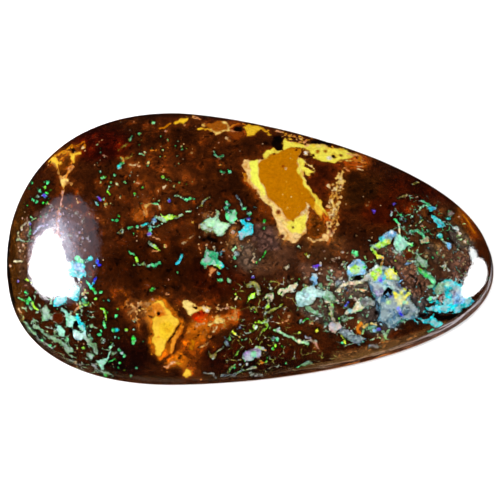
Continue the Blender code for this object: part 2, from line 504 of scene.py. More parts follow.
# Clouds of potch, clay and brown in the ironstone: colour, strength, and the cloud's corners.
GROUND_CLOUDS = (
    ("tan", 0.75, (330, 356), (380, 343), (410, 334), (432, 326), (448, 322), (450, 328), (430, 338),
     (390, 349), (340, 362)),
    ("mauve", 0.35, (18, 236), (24, 222), (36, 216), (40, 240), (36, 262), (30, 290), (22, 284), (18, 262)),
    # This mauve cloud round the left reflection is partly potch and partly painted lavender haze of that
    # reflection.
    ("mauve", 0.55, (36, 212), (58, 203), (84, 214), (90, 240), (84, 254), (60, 262), (30, 250), (24, 228)),
    ("mauve", 0.5, (255, 226), (272, 224), (281, 238), (279, 250), (262, 252), (252, 240)),
    ("mauve_brown", 0.6, (300, 262), (330, 266), (346, 270), (342, 284), (318, 288), (302, 280)),
    ("mauve_brown", 0.6, (374, 248), (392, 246), (402, 258), (420, 262), (424, 282), (412, 286), (397, 272),
     (384, 256)),
    ("mauve", 0.75, (447, 262), (455, 256), (466, 255), (471, 264), (467, 272), (463, 280), (458, 284),
     (452, 280)),
    ("potch", 0.35, (428, 240), (442, 248), (436, 262), (424, 256)),
    ("steel", 0.5, (404, 296), (416, 292), (428, 302), (424, 316), (410, 318), (404, 310)),
    ("sea_gray", 0.5, (424, 284), (434, 286), (436, 298), (426, 298)),
    ("steel", 0.45, (448, 226), (462, 228), (474, 244), (470, 252), (456, 248), (447, 238)),
    ("potch", 0.3, (236, 244), (252, 244), (262, 262), (248, 272), (236, 262)),
    ("potch", 0.4, (300, 296), (330, 304), (344, 318), (336, 330), (312, 322), (298, 310)),
    ("steel", 0.4, (356, 306), (384, 300), (398, 320), (384, 338), (362, 330)),
    ("steel_blue", 0.85, (372, 286), (398, 284), (408, 300), (414, 316), (404, 322), (396, 328), (384, 324),
     (376, 312)),
    ("mauve_brown", 0.7, (375, 246), (396, 248), (412, 256), (430, 268), (434, 290), (420, 300), (404, 286),
     (396, 272), (384, 262)),
    ("potch", 0.55, (334, 278), (352, 280), (368, 284), (366, 298), (342, 302), (332, 292)),
    ("mauve_brown", 0.6, (440, 250), (466, 248), (470, 266), (456, 280), (442, 274)),
    ("tan", 0.6, (202, 214), (214, 214), (214, 234), (204, 234)),
    ("tan", 0.45, (228, 224), (240, 226), (240, 250), (230, 250)),
    ("deep_amber", 0.8, (146, 302), (156, 298), (166, 298), (176, 312), (184, 322), (178, 336), (170, 350),
     (158, 362), (150, 352), (148, 330)),
    ("tan", 0.3, (140, 300), (156, 300), (156, 316), (148, 326), (142, 314)),
    ("tan", 0.15, (128, 298), (144, 300), (144, 324), (136, 326), (128, 314)),
    ("deep_amber", 0.75, (164, 362), (172, 354), (182, 352), (190, 360), (186, 370), (170, 370)),
    ("deep_amber", 0.6, (188, 322), (206, 322), (210, 332), (198, 346), (184, 344)),
    ("orange_brown", 0.8, (200, 318), (226, 312), (240, 306), (240, 324), (214, 332)),
    ("dark_amber", 0.8, (46, 152), (62, 146), (84, 144), (78, 158), (70, 170), (60, 172), (52, 166)),
    ("orange_brown", 0.4, (236, 170), (246, 172), (254, 190), (268, 208), (276, 226), (268, 222),
     (250, 200)),
    ("orange_brown", 0.7, (318, 212), (330, 206), (332, 226), (322, 228)),
    ("orange_brown", 0.75, (344, 152), (362, 152), (378, 160), (364, 170), (346, 172)),
    ("brown", 0.9, (312, 160), (321, 161), (331, 163), (341, 164), (336, 172), (340, 176), (332, 183),
     (325, 190), (322, 197), (314, 192), (310, 185), (309, 177), (314, 174), (313, 166)),
    ("dark_amber", 0.9, (308, 211), (314, 216), (321, 222), (325, 226), (326, 233), (323, 236), (314, 238),
     (308, 237), (305, 232), (307, 224)),
)

# Ochre and clay: colour and corners.
EARTH_PATCHES = (
    ("gold", (47, 161), (51, 156), (56, 157), (58, 162), (61, 160), (62, 163), (58, 166), (60, 173),
     (56, 169), (53, 165), (49, 164)),
    ("gold", (82, 150), (83, 153), (76, 156), (75, 162), (72, 162), (70, 157), (73, 154), (78, 151)),
    ("butter", (59, 172), (62, 177), (68, 178), (70, 180), (65, 184), (61, 189), (60, 184), (60, 178)),
    ("yellow", (172, 125), (176, 127), (181, 124), (184, 125), (187, 121), (188, 118), (183, 117),
     (180, 120), (175, 122)),
    ("deep_amber", (200, 121), (215, 122), (224, 121), (230, 128), (226, 132), (215, 133), (211, 130)),
    ("orange_brown", (228, 121), (240, 119), (243, 132), (238, 140), (230, 139), (226, 132)),
    ("yellow", (244, 126), (252, 125), (258, 126), (263, 129), (259, 131), (256, 134), (251, 135),
     (246, 135), (245, 131)),
    ("peach_cream", (243, 166), (245, 159), (256, 161), (275, 154), (300, 158), (309, 190), (308, 210),
     (307, 222), (306, 231), (300, 238), (293, 243), (285, 242), (280, 237), (277, 230), (274, 218),
     (272, 212), (267, 205), (260, 197), (252, 190), (247, 182), (246, 173)),
    ("lemon", (250, 162), (258, 160), (258, 172), (261, 184), (267, 196), (262, 197), (255, 187),
     (251, 178)),
    ("bright_yellow", (286, 222), (297, 219), (305, 212), (306, 226), (300, 234), (291, 234), (286, 229)),
    ("butter", (262, 192), (272, 205), (283, 218), (290, 226), (284, 228), (276, 214), (264, 200)),
    ("bright_yellow", (285, 137), (290, 141), (297, 143), (305, 143), (317, 143), (327, 145), (337, 148),
     (347, 149), (355, 153), (350, 158), (342, 161), (333, 163), (325, 161), (313, 159), (311, 152),
     (303, 148), (296, 147), (288, 150), (280, 152), (272, 155), (263, 160), (262, 152), (270, 149),
     (284, 145)),
    ("amber", (258, 165), (262, 160), (272, 155), (283, 150), (295, 147), (302, 148), (303, 153), (298, 160),
     (297, 165), (300, 170), (303, 180), (308, 190), (313, 198), (320, 208), (322, 213), (319, 218),
     (313, 210), (308, 205), (306, 204), (302, 213), (297, 218), (292, 221), (287, 219), (282, 212),
     (277, 207), (270, 200), (265, 190), (260, 180)),
    ("amber", (243, 173), (247, 172), (247, 180), (244, 180)),
    ("bright_yellow", (297, 162), (302, 158), (307, 160), (305, 167), (310, 170), (313, 173), (308, 176),
     (303, 172), (300, 168)),
    ("gold", (316, 200), (320, 203), (323, 212), (321, 219), (317, 214), (313, 206)),
    ("orange_brown", (459, 209), (465, 213), (471, 222), (477, 231), (479, 238), (474, 239), (470, 232),
     (463, 220)),
    ("gold", (152, 304), (157, 301), (163, 300), (167, 306), (170, 311), (174, 316), (178, 318), (179, 322),
     (176, 327), (172, 333), (168, 339), (165, 345), (160, 354), (156, 357), (153, 354), (154, 346),
     (152, 339), (153, 333), (150, 326), (151, 319), (155, 313)),
    ("orange", (153, 304), (160, 303), (166, 308), (168, 316), (160, 318), (154, 314)),
    ("yellow", (160, 324), (168, 322), (172, 328), (166, 340), (160, 338)),
    ("tan", (144, 303), (149, 301), (153, 303), (150, 309), (145, 309)),
    ("orange", (184, 325), (180, 329), (179, 335), (177, 341), (174, 348), (171, 354), (168, 352),
     (170, 344), (171, 339), (175, 331), (179, 326)),
    ("amber", (189, 340), (193, 337), (195, 343), (194, 349), (190, 348)),
    ("gold", (182, 374), (187, 369), (193, 372), (191, 376), (186, 377)),
    ("butter", (181, 304), (184, 300), (192, 302), (199, 304), (206, 304), (211, 307), (209, 310),
     (206, 314), (202, 310), (196, 312), (192, 314), (189, 316), (186, 311)),
    ("butter", (205, 324), (209, 322), (213, 321), (217, 316), (219, 314), (223, 317), (226, 319),
     (223, 324), (218, 326), (213, 325), (208, 327)),
    ("peach", (231, 312), (234, 309), (237, 309), (237, 321), (228, 320), (226, 318), (231, 318)),
    ("peach", (207, 270), (212, 268), (217, 271), (213, 275), (209, 278)),
)

# Ochre and clay in threads: colour, width, and the points along each.
EARTH_STROKES = (
    ("orange", 1.5, (69, 152), (63, 155), (59, 160)),
    ("amber", 2.0, (84, 141), (86, 145), (83, 148)),
    ("peach_cream", 2.0, (60, 178), (66, 176), (72, 171), (73, 166)),
    ("tan", 1.6, (66, 181), (73, 184)),
    ("gold", 1.8, (53, 159), (56, 153), (62, 151), (69, 151.5), (71, 156)),
    ("amber", 1.6, (60, 151), (68, 148), (76, 146), (84, 142)),
    ("orange", 1.6, (72, 160), (71, 166), (69, 172), (66, 178)),
    ("tan", 2.2, (52, 164), (57, 170), (60, 178)),
    ("gold", 2.0, (174, 358), (178, 362), (184, 366)),
    ("orange", 2.0, (168, 366), (171, 360), (176, 357)),
    ("peach", 1.6, (347, 152), (356, 155), (364, 160)),
    ("orange", 1.8, (350, 158), (358, 159), (366, 163)),
    ("butter", 1.4, (340, 163), (348, 160), (354, 158)),
    ("deep_amber", 2.4, (346, 168), (356, 166), (366, 166)),
    ("peach", 2.0, (72, 165), (73, 168), (71, 171), (68, 169)),
    ("pink", 2.4, (61, 190), (60, 205), (58, 220), (59, 250)),
    ("pink", 1.6, (102, 154), (107, 157)),
    ("butter", 2.6, (121, 156), (123, 161)),
    ("amber", 2.6, (160, 128), (165, 127), (169, 124)),
    ("peach", 2.0, (192, 117), (199, 120)),
    ("peach", 1.4, (196, 126), (197, 124)),
    ("yellow", 2.5, (200, 129), (206, 128), (210, 130)),
    ("orange", 2.2, (152, 150), (157, 150)),
    ("cream", 2.2, (130, 164), (133, 167), (137, 166)),
    ("peach", 1.8, (136, 182), (141, 183.5)),
    ("cream", 2.2, (162, 187), (167, 184)),
    ("cream", 2.0, (145, 214), (143, 210), (146, 206), (151, 203.5), (157, 205), (161, 208)),
    ("orange", 2.4, (144, 209), (147, 214)),
    ("butter", 2.0, (144, 207), (149, 205)),
    ("peach", 2.2, (152, 238), (158, 240)),
    ("peach", 1.6, (163, 291), (168, 294)),
    ("mauve", 1.6, (145, 284), (149, 287)),
    ("beige", 2.6, (182, 244), (188, 242)),
    ("beige", 1.6, (188, 240), (194, 234)),
    ("peach", 1.4, (199, 248), (200, 254)),
    ("butter", 2.0, (211, 129), (214, 132), (222, 132), (229, 131), (227, 127), (223, 122)),
    ("orange", 1.6, (230, 128), (233, 125), (240, 124), (246, 125)),
    ("peach", 1.8, (232, 131), (237, 131)),
    ("yellow", 2.2, (261, 129), (266, 131), (269, 134)),
    ("cream", 2.4, (225, 138), (228, 140)),
    ("peach", 1.8, (276, 131), (283, 132)),
    ("bright_yellow", 3.0, (299, 170), (303, 178), (306, 186), (311, 193), (316, 199), (321, 206),
     (327, 214)),
    ("cream", 1.4, (306, 161), (311, 166), (314, 174)),
    ("butter", 3.4, (342, 172), (341, 180), (337, 186), (336, 194), (331, 200), (334, 210), (333, 220)),
    ("peach", 2.6, (333, 220), (330, 228), (332, 236)),
    ("butter", 2.6, (336, 179), (341, 177), (340, 181), (343, 184), (338, 186), (338, 190), (336, 194),
     (333, 197), (330, 200), (333, 203), (334, 209), (332, 214), (334, 219)),
    ("cream", 2.4, (328, 186), (334, 190)),
    ("peach", 1.8, (343, 187), (341, 190)),
    ("peach", 1.6, (344, 169), (349, 171)),
    ("cream", 2.2, (358, 169.5), (363, 172)),
    ("cream", 1.4, (358, 166), (362, 166.5)),
    ("peach", 2.4, (326, 224), (328, 228), (330, 232)),
    ("cream", 2.6, (301, 215), (307, 208)),
    ("peach_cream", 2.4, (308, 238), (313, 240.5), (320, 240), (327, 239), (329, 236), (325, 234)),
    ("peach", 3.0, (166, 366), (169, 368), (173, 362), (176, 360)),
    ("amber", 2.0, (175, 359), (181, 361), (184, 366)),
    ("cream", 2.0, (143, 305), (146, 303)),
    ("tan", 2.6, (129, 314), (134, 309), (139, 306), (145, 304)),
    ("peach_cream", 2.2, (131, 305), (135, 309), (137, 315), (136, 321)),
    ("cream", 1.6, (137, 302), (138, 309)),
    ("tan", 1.8, (136, 320), (139, 326), (138, 330)),
    ("butter", 1.6, (140, 311), (146, 309)),
    ("tan", 1.8, (127, 306), (131, 309), (135, 309)),
    ("cream", 1.6, (216, 307), (220, 309)),
    ("pink", 1.4, (219, 309), (232, 306)),
    ("orange", 2.0, (220, 317), (227, 315), (233, 314)),
    ("peach", 2.4, (196, 326), (203, 323)),
    ("cream", 2.0, (213, 331), (217, 327)),
    ("cream", 2.0, (201, 347), (208, 340)),
    ("orange", 5.0, (362, 322), (359, 328), (358, 330), (361, 334)),
    ("pink", 2.5, (316, 343), (320, 348)),
    ("peach", 1.8, (282, 323), (287, 319)),
    ("orange", 2.4, (259, 361), (262, 362)),
    ("peach", 2.4, (151, 252.5), (157, 252)),
    ("olive", 2.4, (124, 158), (131, 156)),
    ("olive", 1.6, (125, 145), (118, 148)),
    ("cream", 2.2, (17, 309), (21, 314)),
    ("olive", 2.2, (20, 323), (23, 320)),
    ("cream", 2.0, (82, 295), (84, 292)),
    ("peach", 2.3, (75, 311), (80, 307)),
    ("amber", 1.2, (462, 214), (468, 222), (474, 232)),
    ("deep_amber", 2.0, (113, 296), (115, 291), (121, 289), (127, 293), (128, 300), (125, 307), (118, 308)),
)

# Ochre and clay in dots: colour, radius and place.
EARTH_DOTS = (
    ("orange_brown", 2.0, (278, 212)), ("brown", 2.2, (282, 236)), ("brown", 1.2, (293, 228)),
    ("tan", 1.6, (270, 208)), ("orange_brown", 1.2, (293, 221)), ("deep_amber", 1.4, (283, 166)),
    ("cream", 1.0, (286, 168)), ("deep_amber", 2.0, (318, 152)), ("orange_brown", 1.4, (305, 149)),
    ("orange_brown", 1.6, (341, 155)), ("deep_amber", 1.6, (326, 152)), ("brown", 1.2, (297, 150)),
    ("cream", 1.6, (82.5, 147.5)), ("peach", 1.2, (48, 204)), ("peach", 1.0, (98, 218)),
    ("pink", 1.0, (11, 266)), ("cream", 0.9, (77, 194)), ("cream", 1.0, (76, 200)),
    ("cream", 1.0, (78, 202)), ("beige", 0.9, (80, 187)), ("beige", 0.9, (70, 206)),
    ("beige", 1.2, (90, 214)), ("pebble", 2.5, (90, 274)), ("cream", 1.2, (117, 184)),
    ("cream", 0.9, (100, 182.5)), ("cream", 1.0, (120, 198)), ("pink", 0.8, (110, 175)),
    ("cream", 1.0, (107, 207)), ("butter", 1.6, (203, 125)), ("butter", 1.6, (149, 163)),
    ("peach", 1.5, (139, 166)), ("peach", 1.3, (163, 170)), ("cream", 1.1, (174, 186)),
    ("cream", 1.0, (179, 184)), ("cream", 1.2, (145, 152)), ("peach", 1.3, (134, 122)),
    ("pink", 1.2, (166, 131)), ("pink", 1.0, (168, 140)), ("beige", 1.2, (192, 153)),
    ("peach", 2.0, (166, 246)), ("peach", 1.4, (157, 252)), ("pink", 1.0, (169, 280)),
    ("yellow", 1.2, (193, 222)), ("peach", 1.7, (223, 250)), ("beige", 1.2, (228, 244)),
    ("pink", 1.0, (229, 256)), ("pink", 2.2, (233, 232)), ("pink", 1.0, (262, 209)),
    ("orange", 1.6, (220, 164)), ("peach", 1.8, (327, 206)), ("beige", 1.0, (345, 205)),
    ("beige", 1.0, (367, 205)), ("peach_cream", 3.0, (325, 236)), ("peach", 1.5, (334, 230)),
    ("amber", 2.5, (360, 158)), ("white", 2.5, (307, 153)), ("white", 2.0, (329.5, 158)),
    ("cream", 1.0, (283, 137)), ("pink", 1.2, (306, 140)), ("white", 2.0, (207, 311)),
    ("white", 1.2, (204, 307)), ("pink", 1.3, (153, 299)), ("cream", 1.0, (178.5, 309.5)),
    ("beige", 1.8, (288, 316)), ("cream", 1.5, (428, 240)), ("beige", 1.5, (438, 247)),
    ("beige", 1.3, (426, 256)), ("beige", 1.2, (443, 256)), ("peach", 1.4, (422, 227)),
    ("beige", 1.2, (410, 208)), ("brown", 3.0, (437, 213)), ("brown", 2.8, (420, 213)),
    ("white", 1.3, (459, 216)), ("white", 2.0, (460, 234)), ("white", 1.8, (465, 242)),
    ("pink", 1.0, (79, 283)), ("pink", 1.8, (77, 305)), ("pink", 1.1, (77, 349)), ("beige", 1.4, (76, 363)),
    ("beige", 1.2, (91, 306)), ("peach", 1.6, (312, 324)), ("beige", 1.4, (378, 337)),
    ("beige", 1.6, (382, 339.5)), ("brown", 4.0, (409, 256)), ("brown", 5.6, (58, 318)),
)

# Opal in its veins: colour and corners.
OPAL_PATCHES = (
    ("steel_blue", (366, 284), (370, 274), (376, 266), (382, 265), (388, 268), (394, 271), (398, 277),
     (400, 284), (406, 290), (411, 298), (415, 307), (419, 317), (410, 321), (402, 319), (396, 327),
     (389, 327), (384, 322), (378, 319), (380, 308), (375, 300), (369, 292)),
    ("sea_gray", (155, 221), (157, 216), (161, 215), (166, 217), (168, 221), (164, 224), (161, 222),
     (158, 219)),
    ("lime", (162, 212), (165, 215), (168, 213), (172, 216), (176, 218), (171, 220), (165, 221), (165, 218)),
    ("olive", (200, 228), (203, 222), (208, 220), (213, 219), (214, 224), (211, 229), (213, 233),
     (206, 232)),
    ("pale_green", (204, 221), (209, 220), (213, 217), (217, 211), (219, 213), (217, 218), (219, 222),
     (223, 224), (230, 226), (227, 229), (225, 232), (223, 237), (216, 237), (213, 233), (211, 228),
     (208, 227), (203, 230), (200, 227), (204, 224)),
    ("teal", (206, 248), (209, 251), (215, 253), (217, 257), (219, 261), (225, 266), (221, 270), (217, 267),
     (212, 265), (207, 265), (205, 269), (203, 271), (202, 262), (204, 256)),
    ("mint", (226, 214), (229, 214), (232, 209), (234, 208), (237, 213), (238, 219), (234, 222), (231, 225),
     (227, 222), (226, 218)),
    ("cyan", (240, 220), (245, 219), (246, 222), (250, 224), (254, 226), (254, 230), (252, 234), (247, 234),
     (245, 238), (243, 240), (240, 237), (239, 233), (237, 231), (241, 229), (244, 227), (242, 224)),
    ("beige", (283, 267), (287, 264), (289, 268), (286, 270)),
    ("sea_gray", (42, 308), (46, 304), (49, 309), (52, 310), (51, 314), (55, 321), (50, 319), (46, 320),
     (41, 323), (41, 316)),
    ("cyan", (62, 268), (68, 262), (76, 262), (84, 266), (86, 274), (80, 280), (72, 278), (66, 276)),
    ("cyan", (60, 296), (66, 291), (72, 286), (77, 287), (79, 295), (80, 300), (77, 303), (72, 301),
     (68, 298), (67, 303), (61, 306), (55, 306), (54, 301)),
    ("pale_mint", (61, 307), (66, 311), (75, 316), (80, 315), (80, 319), (86, 325), (86, 331), (80, 328),
     (76, 322), (74, 325), (75, 329), (68, 327), (66, 322), (65, 315), (60, 311)),
    ("cyan", (76, 315), (80, 314), (81, 319), (86, 324), (87, 330), (81, 326), (77, 321)),
    ("ice", (74, 330), (77, 329), (82, 331), (87, 330), (87, 336), (82, 340), (78, 341), (74, 337)),
    ("pale_mint", (56, 326), (60, 324), (65, 329), (66, 334), (67, 338), (61, 337), (57, 331)),
    ("sea_gray", (62, 345), (67, 344), (72, 350), (71, 354), (66, 352)),
    ("sea_gray", (85, 352), (93, 353), (95, 357), (91, 360), (88, 357)),
    ("pale_mint", (97, 361), (103, 360), (107, 357), (109, 352), (108, 347), (110, 343), (113, 341),
     (111, 346), (110, 354), (107, 361), (104, 365), (104, 370), (101, 368), (98, 364)),
    ("potch", (90, 363), (95, 364), (99, 370), (96, 371), (91, 367)),
    ("green", (130, 336), (134, 335), (137, 339), (136, 343), (134, 344), (131, 340)),
    ("sky", (346, 271), (349, 265), (354, 261), (358, 260), (363, 263), (367, 268), (366, 272), (362, 275),
     (355, 276), (349, 278)),
    ("lime", (350, 270), (355, 265), (360, 268), (359, 273), (353, 275)),
    ("cream", (362, 279), (367, 274), (371, 272), (372, 278), (367, 283), (360, 283), (356, 285), (352, 287),
     (346, 287), (342, 290), (340, 294), (336, 291), (333, 291), (338, 287), (345, 284), (353, 282)),
    ("steel", (334, 281), (338, 279), (343, 284), (337, 287), (334, 285)),
    ("sea_gray", (320, 292), (326, 290), (332, 292), (335, 296), (335, 301), (331, 303), (326, 300),
     (322, 297)),
    ("peach", (356, 289), (360, 287), (364, 290), (367, 294), (361, 292)),
    ("ice", (296, 292), (301, 291), (306, 288), (310, 287), (312, 285), (315, 287), (320, 290), (325, 291),
     (323, 296), (318, 299), (312, 303), (307, 305), (299, 306), (296, 303), (297, 298)),
    ("sky", (310, 277), (313, 273), (316, 277), (317, 285), (313, 287), (311, 281)),
    ("sun", (303, 251), (307, 252), (310, 254), (309, 257), (307, 255)),
    ("sky", (370, 246), (374, 244), (378, 242), (380, 236), (384, 234), (388, 231), (393, 231), (397, 234),
     (394, 238), (391, 241), (386, 245), (380, 245), (374, 246)),
    ("pale_green", (370, 247), (374, 244), (379, 243), (380, 246), (374, 248)),
    ("pale_mint", (396, 236), (400, 232), (403, 237), (408, 240), (408, 246), (405, 250), (400, 252),
     (396, 249), (394, 243)),
    ("sky", (369, 281), (372, 275), (376, 268), (379, 268), (381, 272), (386, 274), (391, 271), (395, 273),
     (398, 278), (393, 280), (390, 283), (383, 285), (378, 284), (372, 283)),
    ("lime", (370, 280), (373, 274), (377, 268), (379, 272), (378, 278), (373, 282)),
    ("sun", (384, 272), (390, 269), (396, 273), (397, 279), (390, 279), (385, 277)),
    ("lime", (370, 275), (375, 268), (382, 267), (381, 274), (376, 280), (371, 281)),
    ("lime", (374, 245), (379, 240), (386, 239), (391, 241), (386, 246), (378, 248)),
    ("pink", (328, 324), (334, 321), (341, 323), (342, 329), (335, 332), (329, 330)),
    ("steel", (388, 284), (393, 280), (398, 280), (400, 284), (406, 287), (407, 289), (401, 291), (395, 287),
     (392, 287)),
    ("lavender", (370, 283), (378, 284), (384, 287), (383, 292), (380, 298), (376, 298), (374, 292)),
    ("sun", (394, 292), (398, 295), (402, 291), (404, 295), (408, 296), (406, 300), (409, 303), (404, 301),
     (402, 306), (400, 302), (397, 306), (396, 300), (393, 297)),
    ("steel_blue", (379, 308), (381, 303), (384, 301), (387, 304), (391, 305), (394, 303), (397, 307),
     (400, 309), (403, 313), (401, 318), (397, 322), (394, 327), (390, 326), (387, 323), (382, 322),
     (378, 320), (380, 314)),
    ("steel", (403, 305), (409, 300), (414, 303), (418, 309), (420, 315), (414, 316), (406, 316),
     (402, 315)),
    ("cream", (348, 309), (352, 309), (355, 304), (359, 302), (361, 306), (366, 309), (364, 310), (358, 311),
     (352, 315), (348, 314), (345, 317), (345, 314), (347, 311)),
    ("potch", (358, 302), (363, 299), (370, 298), (374, 303), (374, 308), (368, 307), (364, 309),
     (360, 306)),
    ("steel", (341, 330), (347, 329), (353, 330), (356, 335), (362, 337), (367, 339), (362, 341), (359, 345),
     (355, 344), (349, 341), (344, 338), (341, 334)),
    ("olive", (246, 284), (250, 283), (252, 282), (255, 281), (258, 284), (260, 290), (262, 294), (258, 296),
     (255, 293), (253, 289), (251, 286), (248, 288)),
    ("lime", (248, 298), (250, 294), (254, 293), (256, 296), (254, 299), (250, 301), (247, 303)),
    ("cream", (287, 281), (290, 284), (297, 283), (297, 286), (293, 290), (291, 290), (296, 293), (292, 294),
     (288, 291), (284, 296), (282, 297), (283, 292), (280, 293), (278, 291), (282, 288), (287, 287),
     (288, 284)),
    ("cream", (269, 294), (273, 293), (274, 296), (273, 300), (271, 302), (270, 297), (266, 299), (264, 299),
     (266, 295)),
    ("olive", (208, 351), (211, 353), (217, 352), (216, 357), (213, 360), (210, 356)),
    ("lavender", (246, 352), (251, 349), (256, 348), (259, 347), (265, 347), (266, 349), (262, 352),
     (261, 356), (258, 358), (254, 357), (252, 361), (249, 363), (245, 361), (243, 357), (244, 354)),
    ("cyan", (427, 207), (431, 207), (433, 210), (431, 213), (434, 216), (438, 218), (442, 220), (443, 224),
     (445, 227), (438, 228), (435, 223), (433, 219), (430, 215), (429, 212), (427, 210)),
    ("sky", (445, 243), (451, 243), (451, 248), (449, 251), (446, 248)),
    ("sea_gray", (417, 252), (421, 255), (424, 258), (429, 265), (427, 268), (423, 267), (420, 263),
     (414, 259)),
    ("teal", (418, 269), (425, 270), (430, 272), (434, 277), (437, 282), (434, 286), (430, 281), (425, 276),
     (420, 273)),
    ("cyan", (430, 288), (440, 284), (444, 281), (449, 279), (455, 281), (460, 285), (464, 288), (466, 294),
     (472, 300), (475, 302), (470, 306), (464, 308), (461, 312), (456, 314), (452, 311), (455, 308),
     (452, 307), (447, 311), (445, 313), (440, 313), (434, 312), (430, 311), (426, 311), (432, 306),
     (437, 305), (444, 306), (443, 300), (441, 296), (436, 294), (433, 290)),
    ("lavender", (451, 290), (457, 289), (462, 297), (463, 306), (457, 312), (452, 308), (454, 300)),
    ("sky", (458, 290), (464, 292), (466, 302), (460, 312), (455, 309), (455, 298)),
    ("sea_gray", (434, 287), (440, 284), (446, 284), (444, 292), (437, 295), (433, 291)),
    ("red_brown", (437, 296), (444, 292), (445, 299), (442, 303), (438, 300)),
    ("cyan", (424, 308), (432, 306), (444, 306), (456, 304), (468, 304), (464, 309), (457, 311), (446, 313),
     (436, 312), (428, 310)),
    ("cyan", (418, 318), (424, 319), (430, 318), (434, 314), (437, 320), (442, 323), (441, 326), (435, 328),
     (428, 325), (422, 322)),
)

